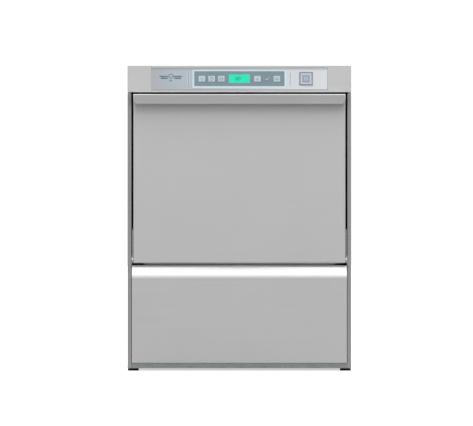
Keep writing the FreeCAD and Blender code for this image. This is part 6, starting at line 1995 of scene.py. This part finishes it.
    def build_boiler_fittings(self) -> None:
        """Straps over the boiler, end-cap seams, two thermostats and its heater's flange."""
        node = Extent.of("boiler")
        radius = node.size.x / 2
        axis = Vector((node.centre.x, node.low.y, node.high.z - radius))
        long = node.size.y
        straps = Form()
        for along in (self.strap_inset, long - self.strap_inset):
            straps.lathe(band(radius, 1 * MM, 8 * MM), axis + Y_AXIS * along, (0, 1, 0), 64, closed=True)
        for along in (6 * MM, long - 6 * MM):
            seam = [(radius, -1.5 * MM), (radius + 0.8 * MM, -0.7 * MM), (radius + 0.8 * MM, 0.7 * MM),
                    (radius, 1.5 * MM)]
            straps.lathe(seam, axis + Y_AXIS * along, (0, 1, 0), 64, closed=True)
        straps.piece("boiler_straps", "cabinet", FRAME_ZINC)
        sensors = Form()
        for along in self.thermostats:
            foot = axis + Vector((0, along, radius - 0.5 * MM))
            disc = in_mm((0, 0), (11, 0), (11, 2), (8, 3), (8, 8), (0, 8))
            sensors.lathe(disc, foot, (0, 0, 1), 28)
        sensors.piece("boiler_thermostats", "cabinet", CHIP_BLACK)
        flange = Form().lathe(in_mm((0, 0), (46, 0), (46, 3), (44, 4), (0, 4)),
                              axis, (0, -1, 0), 48)
        for _, way in spokes(self.flange_bolts):
            foot = axis + way * self.bolt_circle - Y_AXIS * 4 * MM
            flange.rod(foot, foot - Y_AXIS * 3 * MM, 4 * MM, 6, 0.4 * MM)
        flange.piece("boiler_heater_flange", "cabinet", SCREW_CHROME)

    def build_doser_fittings(self) -> None:
        """The dosing pumps' clear lids' rims, screws and hose stubs."""
        node = Extent.of("dosing_pumps")
        rims, screws = Form(), Form()
        for name in ("detergent_dosing_rotor", "rinse_aid_dosing_rotor"):
            rotor = Extent.of(name)
            middle = Vector((rotor.centre.x, node.low.y, node.high.z - self.doser_drop))
            ring = in_mm((23, 0), (25.5, 0), (25.5, 1.2), (24.6, 1.8), (23, 1.4))
            rims.lathe(ring, middle, (0, -1, 0), 40, closed=True)
            for sign in SIDES.values():
                stub = middle + Vector((sign * 12 * MM, 16 * MM, 26.5 * MM))
                rims.lathe(in_mm((2, 0), (3.6, 0), (3.6, 4), (4.4, 5), (3.4, 8), (2, 8)), stub, (0, 0, 1), 18,
                           closed=True)
                for rise in SIDES.values():
                    foot = middle + Vector((sign * self.doser_corner, 0, rise * self.doser_corner))
                    screws.lathe(in_mm((0, 1.2), (0.8, 0.6), (2.4, 1.0), (2.8, 0), (0, 0)),
                                 foot, (0, -1, 0), 16)
        rims.piece("doser_rims", "cabinet", DOSER_GREY)
        screws.piece("doser_screws", "cabinet", SCREW_CHROME)

    def build_drain_coil(self) -> None:
        """The laminated core and the winding on the drain pump's motor."""
        node = Extent.of("drain_pump")
        middle = Vector((node.low.x + self.drain_middle, node.low.y + self.drain_middle, node.low.z))
        reach = self.core_reach
        core = Form()
        for layer in range(self.core_layers):
            low_z = middle.z + self.core_base + layer * self.core_pitch
            core.block((middle.x - reach - 14 * MM, middle.y - reach, low_z),
                       (middle.x - reach + 2 * MM, middle.y + reach, low_z + 1.9 * MM), 0.2 * MM, 1)
        core.piece("drain_motor_core", "cabinet", FRAME_ZINC)
        coil = Form().lathe(in_mm((6, 0), (13, 1), (14, 4), (14, 20), (13, 23), (6, 24)),
                            (middle.x - reach - 8 * MM, middle.y - 12 * MM, middle.z + 23 * MM), (0, 1, 0),
                            28)
        coil.piece("drain_motor_coil", "cabinet", COPPER_WIRE)

    def build_valve(self) -> None:
        """The inlet valve: its moulded body, thread, collar and solenoid with its tags."""
        node = Extent.of("inlet_valve")
        low, high = node.low, node.high
        across = node.centre.x
        reach = node.size.x / 2
        height = low.z + reach
        plate = Extent.of("cable_gland").low.y + 4.5 * MM
        body = Form().block((low.x, low.y, low.z), (high.x, plate - 2 * MM, low.z + 2 * reach), 3 * MM, 4)
        coil_y = low.y + 18 * MM
        body.lathe(in_mm((0, 0), (14, 0), (14, 2), (12.5, 3), (12.5, 30), (14, 31), (14, 34), (11, 35),
                         (0, 35)),
                   (across, coil_y, high.z - 35 * MM), (0, 0, 1), 36)
        body.piece("inlet_valve_body", "cabinet", VALVE_BLUE, "inlet_valve")
        thread = [(9 * MM, 0), (reach, 0), (reach, 1.5 * MM)]
        stub = high.y - plate
        pitch = self.valve_pitch
        for turn in range(int((stub - 3 * MM) / pitch)):
            start = 2 * MM + turn * pitch
            thread += [(12.1 * MM, start), (13.2 * MM, start + pitch / 2)]
        thread += [(12.1 * MM, stub - 0.8 * MM), (11.4 * MM, stub), (9 * MM, stub)]
        Form().lathe(thread, (across, plate, height), (0, 1, 0), 40, closed=True).piece(
            "inlet_valve_thread", "cabinet", VALVE_BLUE, "inlet_valve")
        tags = Form()
        for sign in SIDES.values():
            tags.block((across + sign * 4 * MM - 0.4 * MM, coil_y - 21 * MM, high.z - 12 * MM),
                       (across + sign * 4 * MM + 0.4 * MM, coil_y - 11 * MM, high.z - 6 * MM), 0.15 * MM, 1)
        tags.piece("inlet_valve_tags", "cabinet", SCREW_CHROME, "inlet_valve")

    def build_gland(self) -> None:
        """The cable gland: two nuts on the plate, and a ribbed cap with its dark mouth."""
        node = Extent.of("cable_gland")
        axis = Vector((node.centre.x, node.low.y, node.centre.z))
        radius = node.size.x / 2
        long = node.size.y
        form = Form().rod(axis, axis + Y_AXIS * 4.3 * MM, radius, 6, 0.5 * MM)
        form.rod(axis + Y_AXIS * 6.2 * MM, axis + Y_AXIS * 10.5 * MM, radius, 6, 0.5 * MM)
        cap = [(5 * MM, 5 * MM), (10 * MM, 5 * MM), (10 * MM, long - 6 * MM), (8.4 * MM, long - 1.2 * MM),
               (7.2 * MM, long), (5 * MM, long), (4.6 * MM, long - 4 * MM)]
        form.lathe(cap, axis, (0, 1, 0), 36, closed=True)
        for _, way in spokes(self.gland_ribs):
            rib = axis + way * 9.8 * MM + Y_AXIS * 10.5 * MM
            form.rod(rib, rib + Y_AXIS * 4 * MM, 0.8 * MM, 8, tip=0.5 * MM)
        form.lathe(in_mm((0, 0), (5.2, 0), (5.2, 2), (0, 2)), axis + Y_AXIS * 8 * MM, (0, 1, 0), 24)
        form.piece("cable_gland_body", "cabinet", GLAND_BLACK, "cable_gland")


# ---------------------------------------------------------------- studio
@dataclass
class Studio:
    """A pale floor, soft light from all round and the camera in front."""

    distance: float = 20.0
    frame_width: float = 1.2690
    sensor: float = 36 * MM
    floor_glow: float = 0.6
    floor_bounce: float = 0.5
    eye: tuple[float, float] = (-7.7 * MM, 423.5 * MM)

    def build(self) -> None:
        """Lays the floor, lights the world and sets up the camera."""
        self.lay_floor()
        self.light_world()
        self.add_lamps()
        self.set_camera()

    def lay_floor(self) -> None:
        """A wide pale floor."""
        form = Form()
        bmesh.ops.create_circle(form.mesh, cap_ends=True, segments=96, radius=40.0)
        made = bpy.data.meshes.new("floor")
        form.mesh.to_mesh(made)
        form.mesh.free()
        floor = bpy.data.objects.new("floor", made)
        bpy.context.scene.collection.objects.link(floor)
        recipe = Recipe("pale_floor")
        specks = recipe.noise((3.0, 3.0, 3.0), 3.0)
        recipe.surface(
            Base_Color=recipe.blend(specks, grey(0.86), grey(0.88)), Roughness=0.9, Specular_IOR_Level=0.1,
            Emission_Color=grey(1.0), Emission_Strength=self.floor_glow)
        seen = recipe.node("ShaderNodeLightPath").outputs["Is Camera Ray"]
        dull = recipe.node("ShaderNodeBsdfDiffuse", sockets={"Color": grey(self.floor_bounce)})
        mixed = recipe.node("ShaderNodeMixShader", sockets={
            0: seen, 1: dull.outputs[0], 2: recipe.shader.outputs[0]})
        output = next(node for node in recipe.tree.nodes if node.type == "OUTPUT_MATERIAL")
        recipe.feed(output.inputs[0], mixed.outputs[0])
        made.materials.append(recipe.material)

    def light_world(self) -> None:
        """A soft surround, brighter above than in front, and white behind the object."""
        world = bpy.data.worlds.new("studio")
        bpy.context.scene.world = world
        world.use_nodes = True
        tree = world.node_tree
        tree.nodes.clear()

        def add(kind: str, **sockets: Any) -> bpy.types.Node:
            """Adds a node to the world with values or links for its numbered inputs."""
            node = tree.nodes.new(kind)
            for name, value in sockets.items():
                socket = node.inputs[int(name[1:])]
                if isinstance(value, bpy.types.NodeSocket):
                    tree.links.new(value, socket)
                else:
                    socket.default_value = value
            return node

        way = add("ShaderNodeTexCoord").outputs["Generated"]
        height = add("ShaderNodeSeparateXYZ", s0=way).outputs["Z"]
        ramp = add("ShaderNodeValToRGB", s0=add("ShaderNodeMapRange", s0=height, s1=-1.0, s2=1.0).outputs[0])
        Recipe._set_stops(ramp.color_ramp, [(0.0, grey(0.4)), (0.47, grey(0.30)), (0.54, grey(0.34)),
                                            (0.66, grey(0.80)), (0.85, grey(1.0)), (1.0, grey(1.0))])
        seen = add("ShaderNodeLightPath").outputs["Is Camera Ray"]
        soft = add("ShaderNodeBackground", s0=ramp.outputs[0], s1=1.0)
        white = add("ShaderNodeBackground", s0=grey(1.0), s1=1.05)
        mixed = add("ShaderNodeMixShader", s0=seen, s1=soft.outputs[0], s2=white.outputs[0])
        add("ShaderNodeOutputWorld", s0=mixed.outputs[0])
        bpy.context.scene.view_settings.view_transform = "Standard"

    def add_lamps(self) -> None:
        """A large soft lamp above the front and a smaller one on the right."""
        self.add_lamp("overhead_lamp", (0.0, -1.2, 2.6), (0.0, 0.0, 0.4), 2.4, 20.0)
        self.add_lamp("right_lamp", (2.6, -2.2, 1.3), (0.0, 0.0, 0.4), 1.2, 9.0)

    def add_lamp(self, name: str, place: Point, aim: Point, side: float, power: float) -> None:
        """Adds a square lamp.

        Args:
            name: Its name.
            place: Where it hangs.
            aim: What it points at.
            side: Its width.
            power: Its power in watts.
        """
        light = bpy.data.lights.new(name, "AREA")
        light.shape = "SQUARE"
        light.size = side
        light.energy = power
        lamp = bpy.data.objects.new(name, light)
        lamp.location = place
        lamp.rotation_euler = (Vector(aim) - Vector(place)).to_track_quat("-Z", "Y").to_euler()
        bpy.context.scene.collection.objects.link(lamp)

    def set_camera(self) -> None:
        """A long lens, square to the front."""
        lens = bpy.data.cameras.new("front_camera")
        lens.sensor_width = self.sensor / MM
        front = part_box("control_fascia")[0].y
        lens.lens = self.sensor / MM * self.distance / self.frame_width
        lens.clip_end = 200.0
        camera = bpy.data.objects.new("front_camera", lens)
        camera.location = (self.eye[0], front - self.distance, self.eye[1])
        camera.rotation_euler = (math.pi / 2, 0.0, 0.0)
        bpy.context.scene.collection.objects.link(camera)
        bpy.context.scene.camera = camera


def main() -> None:
    """Builds the object's looks and its studio."""
    logging.basicConfig(level=logging.INFO, format="%(name)s: %(message)s", force=True)
    for node, finish in CARRIED.items():
        carry(node, finish)
    Casing().build()
    ControlPanel().build()
    Door().build()
    WashChamber().build()
    SpraySystem().build()
    Machinery().build()
    Studio().build()


if __name__ == "__main__":
    main()
